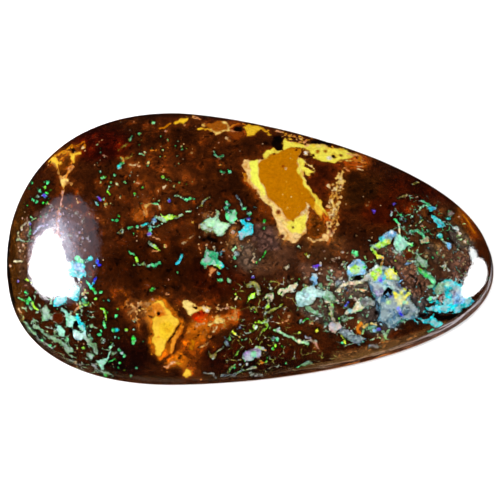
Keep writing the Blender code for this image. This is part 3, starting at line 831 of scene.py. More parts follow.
# Opal in threads: colour, width, and the points along each.
OPAL_STROKES = (
    ("beige", 1.8, (21, 228), (25, 224), (31, 222), (36, 218)),
    ("sea_gray", 1.8, (19, 240), (26, 240), (34, 241)),
    ("beige", 1.8, (17, 232), (18, 242)),
    ("sea_gray", 1.8, (29, 222), (29, 240)),
    ("cream", 2.0, (15, 262), (22, 261)),
    ("lavender", 2.6, (34, 232), (40, 226), (47, 224)),
    ("mint", 3.0, (58, 262), (66, 266), (72, 262)),
    ("cyan", 3.4, (62, 290), (70, 294)),
    ("mint", 1.8, (29, 215), (31, 218), (32, 221)),
    ("mint", 1.4, (30, 230), (30, 233)),
    ("mint", 1.6, (31, 199), (34, 202)),
    ("lime", 2.0, (25, 280.5), (31, 283)),
    ("cyan", 5.0, (72, 264), (78, 270), (83, 274)),
    ("sky", 4.0, (75, 266), (80, 270)),
    ("mint", 2.6, (87, 281), (90, 286), (93, 290), (95, 293)),
    ("cyan", 2.0, (89, 283), (91, 286)),
    ("green", 2.0, (101, 178), (104, 176)),
    ("lime", 2.0, (107, 190.5), (110, 194)),
    ("violet", 3.0, (98, 196), (101, 200)),
    ("mint", 1.6, (95, 201), (99, 205)),
    ("sea_gray", 1.4, (120, 232), (122, 229), (124, 231), (122, 234)),
    ("pale_green", 2.2, (140, 153), (144, 152.5)),
    ("teal", 2.0, (129, 140), (133, 137)),
    ("pale_green", 1.6, (175, 195), (180, 197), (184, 199)),
    ("mint", 2.6, (184, 199), (189, 198), (193, 198)),
    ("pale_green", 2.0, (186, 211), (190, 209.5)),
    ("olive", 1.4, (198, 209), (201, 206), (203, 201), (207, 200), (210, 198)),
    ("mint", 2.2, (152, 203), (157, 204)),
    ("mint", 2.2, (129, 229), (134, 228)),
    ("cyan", 2.4, (143, 227), (148, 225)),
    ("sea_gray", 2.0, (150, 227), (155, 227)),
    ("sky", 2.6, (153, 223), (156, 220)),
    ("pale_green", 2.0, (157, 227), (161, 225)),
    ("olive", 1.5, (177, 219), (181, 216)),
    ("sea_gray", 2.4, (149, 243), (153, 248)),
    ("lime", 3.0, (154, 248), (159, 250)),
    ("mint", 2.6, (129, 252), (132, 253), (135, 254)),
    ("lime", 2.4, (136, 256), (137, 261)),
    ("sea_gray", 1.6, (134, 264), (145, 264)),
    ("teal", 2.6, (148, 264), (159, 264)),
    ("cyan", 3.4, (176, 263), (181, 255)),
    ("green", 2.0, (151, 291), (155, 290)),
    ("dark_teal", 4.0, (227, 203), (228, 212)),
    ("lime", 2.0, (213, 266), (219, 268)),
    ("mint", 2.8, (217.5, 282), (222, 280.5)),
    ("steel", 2.2, (236, 196), (240, 200), (243, 204), (245, 209)),
    ("teal", 2.0, (245, 209), (247, 212), (250, 214)),
    ("mint", 1.2, (247, 218), (252, 218)),
    ("lavender", 2.6, (242, 232), (243, 238)),
    ("pale_green", 2.6, (236, 247), (233, 251)),
    ("beige", 2.4, (254, 257), (251, 262)),
    ("green", 2.4, (267, 252), (264, 256)),
    ("green", 2.2, (262, 258), (258, 263)),
    ("teal", 1.6, (214, 152), (217, 156)),
    ("teal", 1.8, (219, 156), (223, 156)),
    ("teal", 2.2, (220, 171), (225, 172)),
    ("green", 1.4, (17, 297), (22, 300), (28, 302), (33, 303)),
    ("lime", 3.2, (32, 302), (39, 309)),
    ("sea_gray", 4.6, (86, 337), (90, 342), (94, 347), (97, 351)),
    ("sea_gray", 3.8, (33, 326), (38, 328), (43, 331), (50, 337), (55, 339), (60, 342), (66, 347),
     (70, 351)),
    ("sea_gray", 1.5, (67, 338), (67, 344)),
    ("sea_gray", 3.6, (24, 323), (28, 329), (33, 333), (35, 335)),
    ("potch", 2.8, (38, 338), (44, 343), (52, 348)),
    ("sea_gray", 2.8, (100, 370), (111, 373)),
    ("potch", 1.8, (70, 362), (84, 364)),
    ("lime", 2.2, (101, 308), (104, 309), (104, 313), (106, 316), (107, 319)),
    ("green", 2.0, (110, 361), (115, 359)),
    ("teal", 2.0, (82, 299), (84, 304), (88, 305)),
    ("lime", 2.0, (80, 308), (86, 306), (88, 305)),
    ("mint", 3.0, (355, 251), (356, 256)),
    ("olive", 1.8, (338, 261), (344, 262)),
    ("pale_green", 2.0, (329, 283), (328, 287)),
    ("cream", 1.6, (326, 301), (331, 303), (339, 301)),
    ("violet", 3.0, (314, 266), (320, 264)),
    ("pale_green", 2.2, (297, 246), (299, 248)),
    ("lime", 3.2, (371, 249), (375, 255)),
    ("sun", 4.2, (375, 255), (378, 258), (382, 259)),
    ("orange", 3.0, (382, 259), (381, 263), (380, 266)),
    ("sun", 2.4, (395, 292), (402, 297), (408, 303)),
    ("sun", 2.4, (394, 300), (402, 297), (410, 294)),
    ("sun", 2.4, (402, 290), (402, 297), (398, 305)),
    ("white", 3.0, (371, 270), (377, 267)),
    ("white", 3.4, (386, 280), (392, 283)),
    ("ice", 4.0, (380, 284), (386, 289), (394, 286)),
    ("white", 2.4, (366, 276), (372, 280)),
    ("sun", 4.6, (400, 297), (404, 298)),
    ("green", 3.4, (421, 270), (428, 275)),
    ("mint", 3.0, (428, 275), (434, 282)),
    ("lime", 2.0, (419, 267), (424, 270)),
    ("blue", 2.6, (398, 307), (402, 316)),
    ("blue", 2.2, (346, 305), (349, 303)),
    ("beige", 3.6, (331, 307), (331, 313), (334, 319), (338, 325), (336, 329)),
    ("sun", 2.4, (342, 338), (345, 343)),
    ("butter", 2.6, (365, 326), (371, 323), (376, 323)),
    ("lavender", 2.6, (304, 334), (308, 337), (311, 338)),
    ("potch", 2.8, (371, 347), (377, 345)),
    ("beige", 2.0, (269, 285), (272, 290)),
    ("olive", 1.6, (271, 293), (269, 301), (268, 306), (266, 312), (265, 318), (264, 321), (265, 327),
     (261, 333), (258, 340)),
    ("olive", 1.8, (267, 312), (272, 310), (276, 309), (280, 307)),
    ("potch", 2.0, (270, 316), (267, 320)),
    ("lime", 2.4, (254, 329), (254, 325), (256, 323), (261, 323), (264, 321), (267, 325), (266, 330),
     (262, 332)),
    ("olive", 1.6, (250, 331), (247, 334), (244, 331), (243, 329)),
    ("sun", 2.2, (234, 330), (237, 334)),
    ("orange", 2.0, (237, 334), (240, 338)),
    ("steel", 2.2, (225, 338), (228, 345)),
    ("green", 1.8, (232, 335), (229, 339)),
    ("olive", 1.6, (223, 348), (218, 352), (214, 356), (211, 354)),
    ("olive", 1.8, (228, 371), (236, 364)),
    ("olive", 1.6, (235, 356), (239, 352)),
    ("pink", 1.6, (243, 341), (246, 339)),
    ("pale_green", 2.8, (274, 330), (279, 329), (284, 332), (288, 336), (293, 338), (298, 340), (303, 342),
     (308, 344)),
    ("beige", 1.8, (305, 340), (312, 341), (318, 343)),
    ("green", 1.8, (304, 322), (308, 320)),
    ("lime", 2.0, (256, 348), (262, 350)),
    ("steel", 3.0, (222, 376), (232, 375), (240, 372), (244, 369)),
    ("beige", 1.8, (248, 369), (256, 367)),
    ("potch", 2.8, (250, 373), (262, 374)),
    ("beige", 1.6, (270, 370), (279, 365)),
    ("mint", 2.0, (296, 367), (299, 365)),
    ("sea_gray", 2.5, (302, 366), (308, 363), (313, 364)),
    ("potch", 2.0, (205, 372), (213, 374), (215, 378)),
    ("mint", 2.4, (401, 214), (404, 217)),
    ("mint", 3.0, (395, 219), (398, 223)),
    ("cream", 1.8, (398, 224), (399, 232)),
    ("lavender", 2.2, (392, 211), (391, 214)),
    ("olive", 1.8, (411, 185), (418, 182)),
    ("olive", 1.6, (400, 198), (407, 195)),
    ("pale_green", 2.4, (417, 211), (422, 207), (426, 206)),
    ("teal", 3.2, (422, 201), (428, 206)),
    ("sea_gray", 2.0, (448, 222), (450, 226)),
    ("white", 3.0, (453, 229), (459, 229)),
    ("cream", 1.6, (442, 240), (444, 243)),
    ("teal", 3.0, (411, 232), (416, 231), (420, 234), (424, 237)),
    ("mint", 2.0, (404, 236), (409, 239)),
    ("pale_green", 2.4, (409, 243), (413, 245)),
    ("green", 1.6, (412, 246), (416, 247)),
    ("beige", 3.6, (422, 241), (428, 238)),
    ("olive", 1.8, (425, 220), (415, 227)),
    ("beige", 1.8, (440, 265), (444, 265), (448, 269)),
    ("beige", 1.6, (444, 262), (444, 268)),
    ("sky", 2.0, (405, 263.5), (409, 263)),
    ("teal", 1.6, (427, 331), (432, 329)),
)

# Opal in dots: colour, radius and place.
OPAL_DOTS = (
    ("mint", 1.3, (32.5, 183)), ("mint", 1.8, (47.5, 182.5)), ("mint", 1.5, (27, 293)),
    ("mint", 1.3, (26.5, 303)), ("lime", 1.5, (45, 187)), ("teal", 1.8, (40, 191)), ("teal", 1.6, (36, 202)),
    ("green", 1.6, (47, 193)), ("green", 1.0, (42, 203)), ("violet", 2.0, (44, 195.5)),
    ("violet", 1.6, (30, 225)), ("violet", 1.2, (18.5, 281)), ("potch", 1.4, (38, 197)),
    ("mint", 3.0, (77, 258)), ("mint", 3.0, (80, 262)), ("sky", 4.0, (78, 267)), ("cyan", 3.0, (90, 259)),
    ("dark_teal", 2.4, (86, 262)), ("blue", 2.2, (97, 261)), ("blue", 2.0, (99, 265)),
    ("blue", 1.8, (95, 279)), ("white", 1.1, (94, 267)), ("lavender", 2.0, (83, 271)),
    ("cyan", 1.4, (93, 283)), ("green", 1.8, (93, 289)), ("mint", 1.2, (36, 292)),
    ("green", 1.2, (123, 163)), ("cyan", 2.2, (119, 167)), ("teal", 1.6, (121, 164)),
    ("mint", 1.8, (114.5, 175)), ("teal", 1.0, (100, 171)), ("teal", 1.3, (111, 182)),
    ("teal", 1.3, (124, 182)), ("green", 0.9, (109, 187)), ("green", 1.2, (104, 199)),
    ("olive", 2.0, (106, 204)), ("green", 1.6, (119, 216)), ("mint", 1.4, (117, 220)),
    ("mint", 0.9, (113, 220)), ("mint", 1.6, (140, 134)), ("mint", 1.7, (153, 123)),
    ("green", 1.2, (143, 187)), ("green", 1.4, (134, 193)), ("lime", 1.8, (164, 177)),
    ("violet", 1.5, (169.5, 200.5)), ("mint", 1.5, (138, 227)), ("mint", 1.7, (150, 230)),
    ("violet", 2.2, (149, 234)), ("green", 1.2, (134, 234)), ("mint", 1.6, (152, 264)),
    ("mint", 1.2, (178, 272.5)), ("mint", 1.6, (227, 202)), ("mint", 1.2, (227, 208)),
    ("potch", 2.0, (206, 259)), ("cyan", 2.0, (222, 266)), ("cyan", 1.7, (218, 274)),
    ("sea_gray", 2.4, (229.5, 281)), ("mint", 1.4, (245, 209)), ("green", 1.7, (264, 222)),
    ("sea_gray", 1.2, (264.5, 228)), ("steel", 2.8, (236.5, 254)), ("teal", 2.0, (234.5, 258)),
    ("violet", 1.8, (253.5, 277.5)), ("olive", 1.3, (250.5, 272)), ("mint", 1.8, (229, 171)),
    ("mint", 1.7, (116, 316)), ("mint", 1.3, (105, 322)), ("mint", 1.0, (105, 325.5)),
    ("mint", 1.2, (101, 330)), ("teal", 1.9, (98.5, 334)), ("cyan", 2.0, (117, 330)),
    ("green", 1.5, (113.5, 330)), ("teal", 1.0, (115, 337)), ("teal", 1.8, (119.5, 349)),
    ("steel", 1.6, (122, 353)), ("mint", 1.5, (124, 357)), ("green", 1.0, (120, 362)),
    ("lime", 1.6, (96, 299)), ("mint", 1.3, (95, 293)), ("mint", 1.0, (99.5, 293)),
    ("mint", 1.0, (101.5, 292)), ("white", 1.5, (85, 298)), ("mint", 1.5, (50, 345)),
    ("mint", 1.3, (42, 340)), ("lime", 1.4, (84, 348)), ("green", 2.0, (106, 375.5)),
    ("mint", 1.6, (133, 343.5)), ("lime", 1.4, (126, 330)), ("teal", 1.5, (136, 368)),
    ("teal", 1.6, (131, 376)), ("violet", 2.2, (374.5, 211)), ("violet", 1.7, (394.5, 204)),
    ("green", 1.8, (364, 268)), ("white", 1.8, (349, 268)), ("white", 1.6, (313, 274)),
    ("white", 1.2, (316, 269)), ("cyan", 2.4, (381, 239)), ("sun", 2.4, (388, 242)),
    ("white", 1.8, (391, 233)), ("sun", 2.0, (378, 274)), ("cyan", 2.6, (384, 277)),
    ("violet", 2.0, (381, 279)), ("sun", 1.6, (394, 275)), ("pale_green", 1.8, (385, 283)),
    ("violet", 1.5, (391, 296)), ("sun", 1.8, (405, 289)), ("mint", 1.6, (405, 302)),
    ("lime", 2.4, (389, 302)), ("cyan", 1.8, (350, 311)), ("white", 1.4, (364, 308.5)),
    ("pink", 1.8, (331, 328)), ("lavender", 1.8, (334, 325)), ("sky", 2.0, (375, 330)),
    ("violet", 2.0, (379, 329)), ("sun", 1.8, (317, 331)), ("cream", 2.0, (236, 298)),
    ("lime", 1.8, (268, 306)), ("white", 1.8, (256, 328)), ("lavender", 1.2, (238, 329)),
    ("violet", 1.4, (240, 327)), ("sea_gray", 1.6, (230, 339)), ("steel", 2.2, (226, 343)),
    ("sun", 1.6, (299, 333)), ("lavender", 1.6, (301, 321)), ("steel", 2.0, (273, 338)),
    ("mint", 2.2, (278, 339)), ("lime", 1.5, (275, 345.5)), ("green", 1.5, (273, 348)),
    ("white", 1.8, (279, 329)), ("cream", 2.2, (300, 341)), ("mint", 3.0, (253, 354)),
    ("orange", 1.2, (266, 350)), ("green", 1.6, (266, 361)), ("green", 1.0, (268, 357)),
    ("white", 1.4, (247, 364)), ("potch", 1.5, (241, 364)), ("steel", 1.8, (402, 219)),
    ("mauve", 3.0, (451, 213)), ("cyan", 2.0, (449, 218)), ("cyan", 2.4, (440, 236)),
    ("mint", 2.2, (430, 298)), ("mint", 1.4, (490, 278)), ("cyan", 1.8, (483, 296)),
    ("white", 1.4, (447, 325)), ("violet", 2.2, (249, 219)), ("pink", 1.3, (442, 302)),
    ("pale_green", 2.6, (448, 284)), ("cyan", 2.6, (452, 284)), ("white", 1.2, (83, 307)),
    ("mint", 2.0, (30, 300)),
)

# Dark iron where a vein or patch is broken through, and painted shade along the left rim: width and points.
# One point alone makes a round pit.
DARK_MARKS = (
    (2.4, (50, 162)), (4.5, (73, 150)), (3.2, (77, 280)), (3.6, (159, 222)),
    (4.4, (334, 156)), (2.2, (314, 156)), (4.4, (159, 314)), (5.0, (376, 313)),
    (6.0, (76, 324)), (5.0, (71, 331)), (4.0, (430, 213)), (2.6, (418, 298)), (4.0, (204, 240)),
    (5.0, (236, 128.5), (241, 128.5)),
    (4.0, (208, 238), (216, 241)),
    (2.4, (194, 307), (197, 307)),
    (1.6, (180, 323), (176, 328), (171, 337), (168, 341)),
    (9.0, (276, 143), (279, 146)),
    (7.0, (277, 139), (280, 139)),
    (1.6, (388, 260), (392, 265), (395, 272)),
    (5.0, (352, 279), (358, 278)),
    (7.0, (386, 294), (389, 291)),
    (4.0, (420, 316), (428, 315)),
    (5.0, (437, 316.5), (443, 318.5), (450, 318.5), (456, 316.5)),
    (2.6, (456, 316), (462, 313)),
    (2.0, (419, 283), (422, 291)),
    (2.0, (447, 230), (450, 240), (462, 250)),
    (2.0, (410, 275), (416, 280), (414, 288)),
    (4.0, (312, 142), (322, 142), (330, 144)),
    # The last line, along the steep left rim, is painted shade rather than broken iron.
    (3.0, (9, 235), (7, 258), (9, 282), (13, 302)),
)

# Painting, in pixels. Marks are bent from their drawn lines: bump size, strength and seed of each bend.
# Their edges reach and blend this far, strokes vary in width, and a pit this wide is sunk all the way.
WARPS = ((9.0, 1.7, 11), (3.6, 0.9, 23))
EDGE_REACH = 6.0
BLEND_WIDTH = 1.2
STROKE_RAGGEDNESS = 0.35
THICKNESS_NOISE = (4.0, 31)
SMALLEST_DOT = 0.95
WHOLE_PIT = 5.0

# A fleck's radius, as shares of its field's largest: the smallest, and the most that its draw adds.
SMALLEST_FLECK = 0.45
FLECK_SPREAD = 0.55

# Where soft regions are whole and where they end: in shares of their reach, or in pixels off their outline.
TINT_FADE = (0.55, 1.2)
CLOUD_FADE = (-2.5, 3.0)
FIELD_FADE = (-6.0, 5.0)

# Below this amount of opal threads a place has no colour of its own yet.
NO_THREADS = 0.01

# Clays with fewer brown clouds and cracks than the rest, which has 1.
UNEVENNESS = {"amber": 0.2, "gold": 0.35, "yellow": 0.7, "bright_yellow": 0.6, "lemon": 0.15}

# How far outside any mark the unseen sides count as being, in pixels.
BARE_EDGE = 6.0

# All the points of a layer.
EVERYWHERE = slice(None)

# How far the surface turns towards the camera where the marks start and where they are whole.
SIGHT_LIMITS = (0.0, 0.14)

# The wall's layers are faint along the lower left edge: the range of x in millimetres, and how faint.
LAYERS_RISE = (1.0, 7.0)
FAINT_LAYERS = 0.15

# Slopes get less light than the crown, so the marks on them are paler stone than they look, up to a limit.
SHADED_LIGHT = 0.3
PALEST = 0.8


def smoothstep(low, high, values):
    part = clamp01((values - low) / (high - low))
    return part * part * (3 - 2 * part)


def palette(name):
    return np.array(PALETTE[name]) / 255


def segment_distance(points, start, end):
    start = np.array(start, float)
    along = np.array(end, float) - start
    length = max(float(along @ along), TINY)
    share = clamp01((points - start) @ along / length)
    return np.linalg.norm(points - start - share[:, None] * along, axis=1)


def line_distance(points, line):
    if len(line) == 1:
        return np.linalg.norm(points - np.array(line[0]), axis=1)
    distance = np.full(len(points), np.inf)
    for start, end in zip(line[:-1], line[1:]):
        distance = np.minimum(distance, segment_distance(points, start, end))
    return distance


def patch_distance(points, corners):
    """How far each point is outside the patch, or inside it as a negative number."""
    distance = np.full(len(points), np.inf)
    inside = np.zeros(len(points), bool)
    for start, end in zip(corners, corners[1:] + corners[:1]):
        distance = np.minimum(distance, segment_distance(points, start, end))
        rise = end[1] - start[1]
        if rise:
            crossing = start[0] + (points[:, 1] - start[1]) * (end[0] - start[0]) / rise
            spans = (start[1] > points[:, 1]) != (end[1] > points[:, 1])
            inside ^= spans & (points[:, 0] < crossing)
    return np.where(inside, -distance, distance)


def cover(distance):
    """How much a mark covers each point: 1 inside its edge, 0 outside, and a narrow blend between."""
    return clamp01(0.5 - distance / BLEND_WIDTH)


def lay_over(layer, near, value, share):
    """Moves a layer's near points towards the value, by a share for each of them."""
    if layer.ndim > 1:
        share = share[:, None]
    layer[near] += (value - layer[near]) * share


def close_to(points, line, reach):
    """The indices of the points within reach of the box around a line."""
    low = np.min(line, axis=0) - reach
    high = np.max(line, axis=0) + reach
    return np.nonzero(((points >= low) & (points <= high)).all(axis=1))[0]


def new_canvas(pixels):
    count = len(pixels)
    ground = np.tile(palette("ground"), (count, 1))
    return {
        "ground": ground,
        "paint": ground.copy(),
        "edge": np.full(count, EDGE_REACH),
        "opal": np.zeros(count),
        "pit": np.zeros(count),
        "uneven": np.ones(count),
        "veins": np.zeros((count, 4)),
    }


def tint_ground(canvas, pixels):
    for middle, reach, tint, strength in GROUND_TINTS:
        away = np.linalg.norm((pixels - np.array(middle)) / np.array(reach), axis=1)
        share = strength * (1 - smoothstep(*TINT_FADE, away))
        lay_over(canvas["ground"], EVERYWHERE, np.array(tint) / 255, share)
    for name, strength, *corners in GROUND_CLOUDS:
        share = strength * (1 - smoothstep(*CLOUD_FADE, patch_distance(pixels, corners)))
        lay_over(canvas["ground"], EVERYWHERE, palette(name), share)


def lay_vein_fields(canvas, pixels):
    """Marks where fine opal runs between pebbles: its colour, and in the fourth place how much there is."""
    veins = canvas["veins"]
    for name, density, *corners in VEIN_FIELDS:
        share = 1 - smoothstep(*FIELD_FADE, patch_distance(pixels, corners))
        colour_share = np.where(veins[:, 3] > NO_THREADS, share, 1.0) * (share > 0)
        lay_over(veins[:, :3], EVERYWHERE, palette(name), colour_share)
        lay_over(veins[:, 3], EVERYWHERE, density, share)


def lay_colour(canvas, near, distance, name, opal):
    """Paints one mark over the earlier ones, and lets its colour reach a little past its edge."""
    colour = palette(name)
    share = cover(distance)
    lay_over(canvas["paint"], near, colour, share)
    lay_over(canvas["opal"], near, opal, share)
    lay_over(canvas["uneven"], near, UNEVENNESS.get(name, 1.0), share)
    outside = (share == 0) & (distance < canvas["edge"][near]) & (canvas["edge"][near] > 0)
    reached = near[outside]
    canvas["paint"][reached] = colour
    canvas["opal"][reached] = opal
    canvas["edge"][near] = np.minimum(canvas["edge"][near], distance)


def lay_flecks(canvas, pixels):
    for count, largest, seed, opal, names, *corners in FLECK_FIELDS:
        random = np.random.default_rng(seed)
        places = random.uniform(np.min(corners, axis=0), np.max(corners, axis=0), (count, 2))
        places = places[patch_distance(places, corners) < 0]
        sizes = largest * (SMALLEST_FLECK + FLECK_SPREAD * random.random(len(places)) ** 2)
        shades = random.integers(len(names), size=len(places))
        for place, size, shade_index in zip(places, sizes, shades):
            near = close_to(pixels, [place], EDGE_REACH)
            distance = line_distance(pixels[near], [place]) - size
            lay_colour(canvas, near, distance, names[shade_index], opal)


def lay_patches(canvas, pixels, patches, opal):
    for name, *corners in patches:
        near = close_to(pixels, corners, EDGE_REACH)
        lay_colour(canvas, near, patch_distance(pixels[near], corners), name, opal)


def lay_strokes(canvas, pixels, thickness, strokes, opal):
    for name, width, *line in strokes:
        near = close_to(pixels, line, EDGE_REACH + width)
        half = width / 2 * (1 + STROKE_RAGGEDNESS * thickness[near])
        lay_colour(canvas, near, line_distance(pixels[near], line) - half, name, opal)


def lay_dots(canvas, pixels, dots, opal):
    for name, radius, place in dots:
        near = close_to(pixels, [place], EDGE_REACH + radius)
        distance = line_distance(pixels[near], [place]) - max(radius, SMALLEST_DOT)
        lay_colour(canvas, near, distance, name, opal)


def cut_dark_marks(canvas, pixels):
    """Breaks the laid colours open where dark iron or painted shade shows, and sinks the larger pits a
    little.
    """
    for width, *line in DARK_MARKS:
        near = close_to(pixels, line, EDGE_REACH + width)
        distance = line_distance(pixels[near], line) - width / 2
        canvas["edge"][near] = np.maximum(canvas["edge"][near], -distance)
        share = cover(distance)
        lay_over(canvas["ground"], near, palette("black"), share)
        canvas["pit"][near] = np.maximum(canvas["pit"][near], share * min(1.0, width / WHOLE_PIT))


def paint_stone(pixels):
    bent = pixels.copy()
    for size, strength, seed in WARPS:
        bent[:, 0] += strength * smooth_noise(pixels, size, seed)
        bent[:, 1] += strength * smooth_noise(pixels, size, seed + 1)
    thickness = smooth_noise(pixels, *THICKNESS_NOISE)
    canvas = new_canvas(pixels)
    tint_ground(canvas, bent)
    lay_vein_fields(canvas, bent)
    lay_patches(canvas, bent, EARTH_PATCHES, 0.0)
    lay_strokes(canvas, bent, thickness, EARTH_STROKES, 0.0)
    lay_flecks(canvas, pixels)
    lay_patches(canvas, bent, OPAL_PATCHES, 1.0)
    lay_strokes(canvas, bent, thickness, OPAL_STROKES, 1.0)
    near_true = (pixels + bent) / 2
    lay_dots(canvas, near_true, EARTH_DOTS, 0.0)
    lay_dots(canvas, near_true, OPAL_DOTS, 1.0)
    cut_dark_marks(canvas, near_true)
    return canvas


def bare_unseen(canvas, points, normals):
    """Ends the marks where the photograph does not look, and says where the wall shows its layers."""
    seen = smoothstep(*SIGHT_LIMITS, normals @ camera_axes()[2])
    canvas["edge"] += (BARE_EDGE - canvas["edge"]) * (1 - seen)
    canvas["veins"][:, 3] *= seen
    faintness = (1 - FAINT_LAYERS) * (1 - smoothstep(*LAYERS_RISE, points[:, 0]))
    canvas["layers"] = 1 - seen * faintness


def linear(colours):
    """Screen colours as the reflectance that shows them under the lamps."""
    low = colours / TOE_SLOPE
    high = ((colours + CURVE_SHIFT) / (1 + CURVE_SHIFT)) ** CURVE_POWER
    return np.where(colours <= TOE_END, low, high) / LIGHT_GAIN


def store_canvas(mesh, canvas, normals):
    count = len(mesh.vertices)
    light = SHADED_LIGHT + (1 - SHADED_LIGHT) * clamp01(normals[:, 2:])
    for name in ("ground", "paint", "veins"):
        attribute = mesh.attributes.new(name, "FLOAT_COLOR", "POINT")
        values = np.ones((count, 4))
        values[:, :3] = linear(clamp01(canvas[name][:, :3]))
        if name != "ground":
            values[:, :3] = np.minimum(values[:, :3] / light, PALEST)
        if name == "veins":
            values[:, 3] = canvas[name][:, 3]
        attribute.data.foreach_set("color", values.ravel())
    layers = mesh.attributes.new("layers", "FLOAT", "POINT")
    layers.data.foreach_set("value", canvas["layers"])
    marks = mesh.attributes.new("marks", "FLOAT_VECTOR", "POINT")
    values = np.column_stack([canvas["edge"], canvas["opal"], canvas["uneven"]])
    marks.data.foreach_set("vector", values.ravel())


# The polish leaves the surface a little uneven: bump size, height and seed of each layer, in millimetres.
UNDULATIONS = ((2.4, 0.010, 41), (1.0, 0.004, 43), (0.45, 0.0016, 47))
PIT_DEPTH = 0.03

# The polish is rougher around the left reflection: middle, reach and fade in pixels, and its own bumps.
ROUGH_MIDDLE = (56.0, 252.0)
ROUGH_REACH = (44.0, 62.0)
ROUGH_FADE = (0.6, 1.1)
ROUGH_BUMPS = ((0.8, 0.013, 61), (0.35, 0.0062, 63))

# Where the noise is read, and the heights where the unevenness starts and is whole.
NOISE_SHIFT = 100
POLISH_RISE = (0.3, 1.2)


def soften_surface(points, normals, pit, underside, pixels):
    """Lets the polished surface roll slightly and sinks its pits, and leaves the flat underside flat."""
    depth = np.zeros(len(points))
    for size, strength, seed in UNDULATIONS:
        depth += strength * smooth_noise(points + NOISE_SHIFT, size, seed)
    away = np.linalg.norm((pixels - np.array(ROUGH_MIDDLE)) / np.array(ROUGH_REACH), axis=1)
    share = 1 - smoothstep(*ROUGH_FADE, away)
    for size, strength, seed in ROUGH_BUMPS:
        depth += share * strength * smooth_noise(points + NOISE_SHIFT, size, seed)
    depth -= PIT_DEPTH * pit
    raised = smoothstep(*POLISH_RISE, points[:, 2])
    depth = np.where(underside, 0.0, depth * raised)
    return points + normals * depth[:, None]


# The polished surface, set on the shader's own sockets, and the depth of its faint lumps in millimetres.
STONE_IOR = 1.85
COAT_IOR = 1.6
COAT_ROUGHNESS = 0.035
BUMP_DEPTH = 0.013

# Pebbles in millimetres: those with opal between them, those in the brown stone, and how far both are bent.
PEBBLE_SIZE = 0.62
SMALL_PEBBLE = 0.38
PEBBLE_BEND = 0.4
PALE_GRAIN_SIZE = 0.34

# How wide the opal threads grow between pebbles, for each unit of a vein field's amount.
THREAD_WIDTH = 0.3

# The wall's layers from the floor up: height in millimetres and colour.
WALL_LAYERS = (
    (0.0, (235, 140, 70)),
    (0.75, (90, 40, 14)),
    (1.05, (205, 165, 130)),
    (1.25, (160, 110, 55)),
)
LAYER_BLEND = 0.08

# Noise on the wall is finer across the layers than along them.
LAYER_FINENESS = (1.0, 1.0, 4.0)

# The layers start above the foot and end at the wall's top: how far below and above that height they fade.
FOOT_FADE = (0.02, 0.2)
WALL_TOP = 1.7
WALL_TOP_FADE = (0.2, 0.15)

# The wall at the narrow end carries a painted reflection of the pale floor: where along x it turns to that
# painted grey tone, how far, and one painted white line of mirrored light.
TIP_REFLECTION_START = 8.0
TIP_REFLECTION_WHOLE = 13.0
TIP_REFLECTION_SHARE = 0.8
TIP_REFLECTION_TONE = (128, 100, 92)
REFLECTED_STREAK_TONE = (250, 240, 248)
REFLECTED_STREAK_LEVEL = 1.25
REFLECTED_STREAK_HALF = 0.1
REFLECTED_STREAK_FADE = 0.2

# Tones laid over the rest, and factors for red, green and blue that turn one colour into another.
PALE_GRAIN_TONE = (190, 150, 110)
# The glint tone paints pale glints of light on the opal.
PAINTED_GLINT_TONE = (225, 250, 245)
PALE_OPAL_TONE = (235, 252, 248)
CRACK_TONE = (90, 35, 4)
AMBER_CLOUD = (2.6, 2.0, 1.0, 1.0)
PALE_SWIRL = (2.3, 2.4, 2.0, 1.0)
DEEP_OPAL = (0.2, 0.45, 0.38, 1.0)
BROWN_CLAY = (0.75, 0.48, 0.15, 1.0)
AMBER_CLAY = (0.6, 0.33, 0.08, 1.0)
WARM_GROUND = (3.2, 3.0, 1.6, 1.0)
HUE_TURN = 0.6

# The middle values of two noises, along which swirls and cracks run.
SWIRL_MIDDLE = 0.5
CRACK_MIDDLE = 0.47

# Noises: the size of their bumps in millimetres, detail, roughness and distortion.
NOISES = {
    "pebble_bend": (0.45, 3.0, 0.6, 0.0),
    "mottle": (1.1, 3.0, 0.55, 0.4),
    "grain": (0.24, 3.0, 0.6, 0.0),
    "amber_cloud": (0.7, 3.0, 0.6, 0.8),
    "pebble_patch": (0.8, 3.0, 0.6, 0.0),
    "swirl": (1.7, 4.0, 0.55, 1.8),
    "marbling": (1.6, 2.0, 0.55, 0.0),
    "pit": (0.34, 3.0, 0.55, 0.3),
    "thread": (0.5, 4.0, 0.65, 0.0),
    "opal_grain": (0.18, 3.0, 0.6, 0.0),
    "opal_cloud": (0.45, 3.0, 0.6, 0.5),
    "opal_hue": (0.4, 2.0, 0.5, 0.6),
    "glint": (0.24, 3.0, 0.6, 0.3),
    "pale_opal": (0.6, 2.0, 0.55, 0.0),
    "clay_cloud": (0.7, 5.0, 0.65, 0.5),
    "clay_grain": (0.16, 3.0, 0.65, 0.0),
    "crack": (0.8, 5.0, 0.7, 1.0),
    "layer_wave": (1.6, 4.0, 0.6, 0.0),
    "layer_streak": (0.5, 4.0, 0.65, 0.0),
    "crumble": (0.22, 4.0, 0.65, 0.0),
    "hole": (0.24, 4.0, 0.7, 0.5),
    "wear": (0.5, 4.0, 0.6, 0.0),
    "lump": (0.4, 5.0, 0.6, 0.4),
}

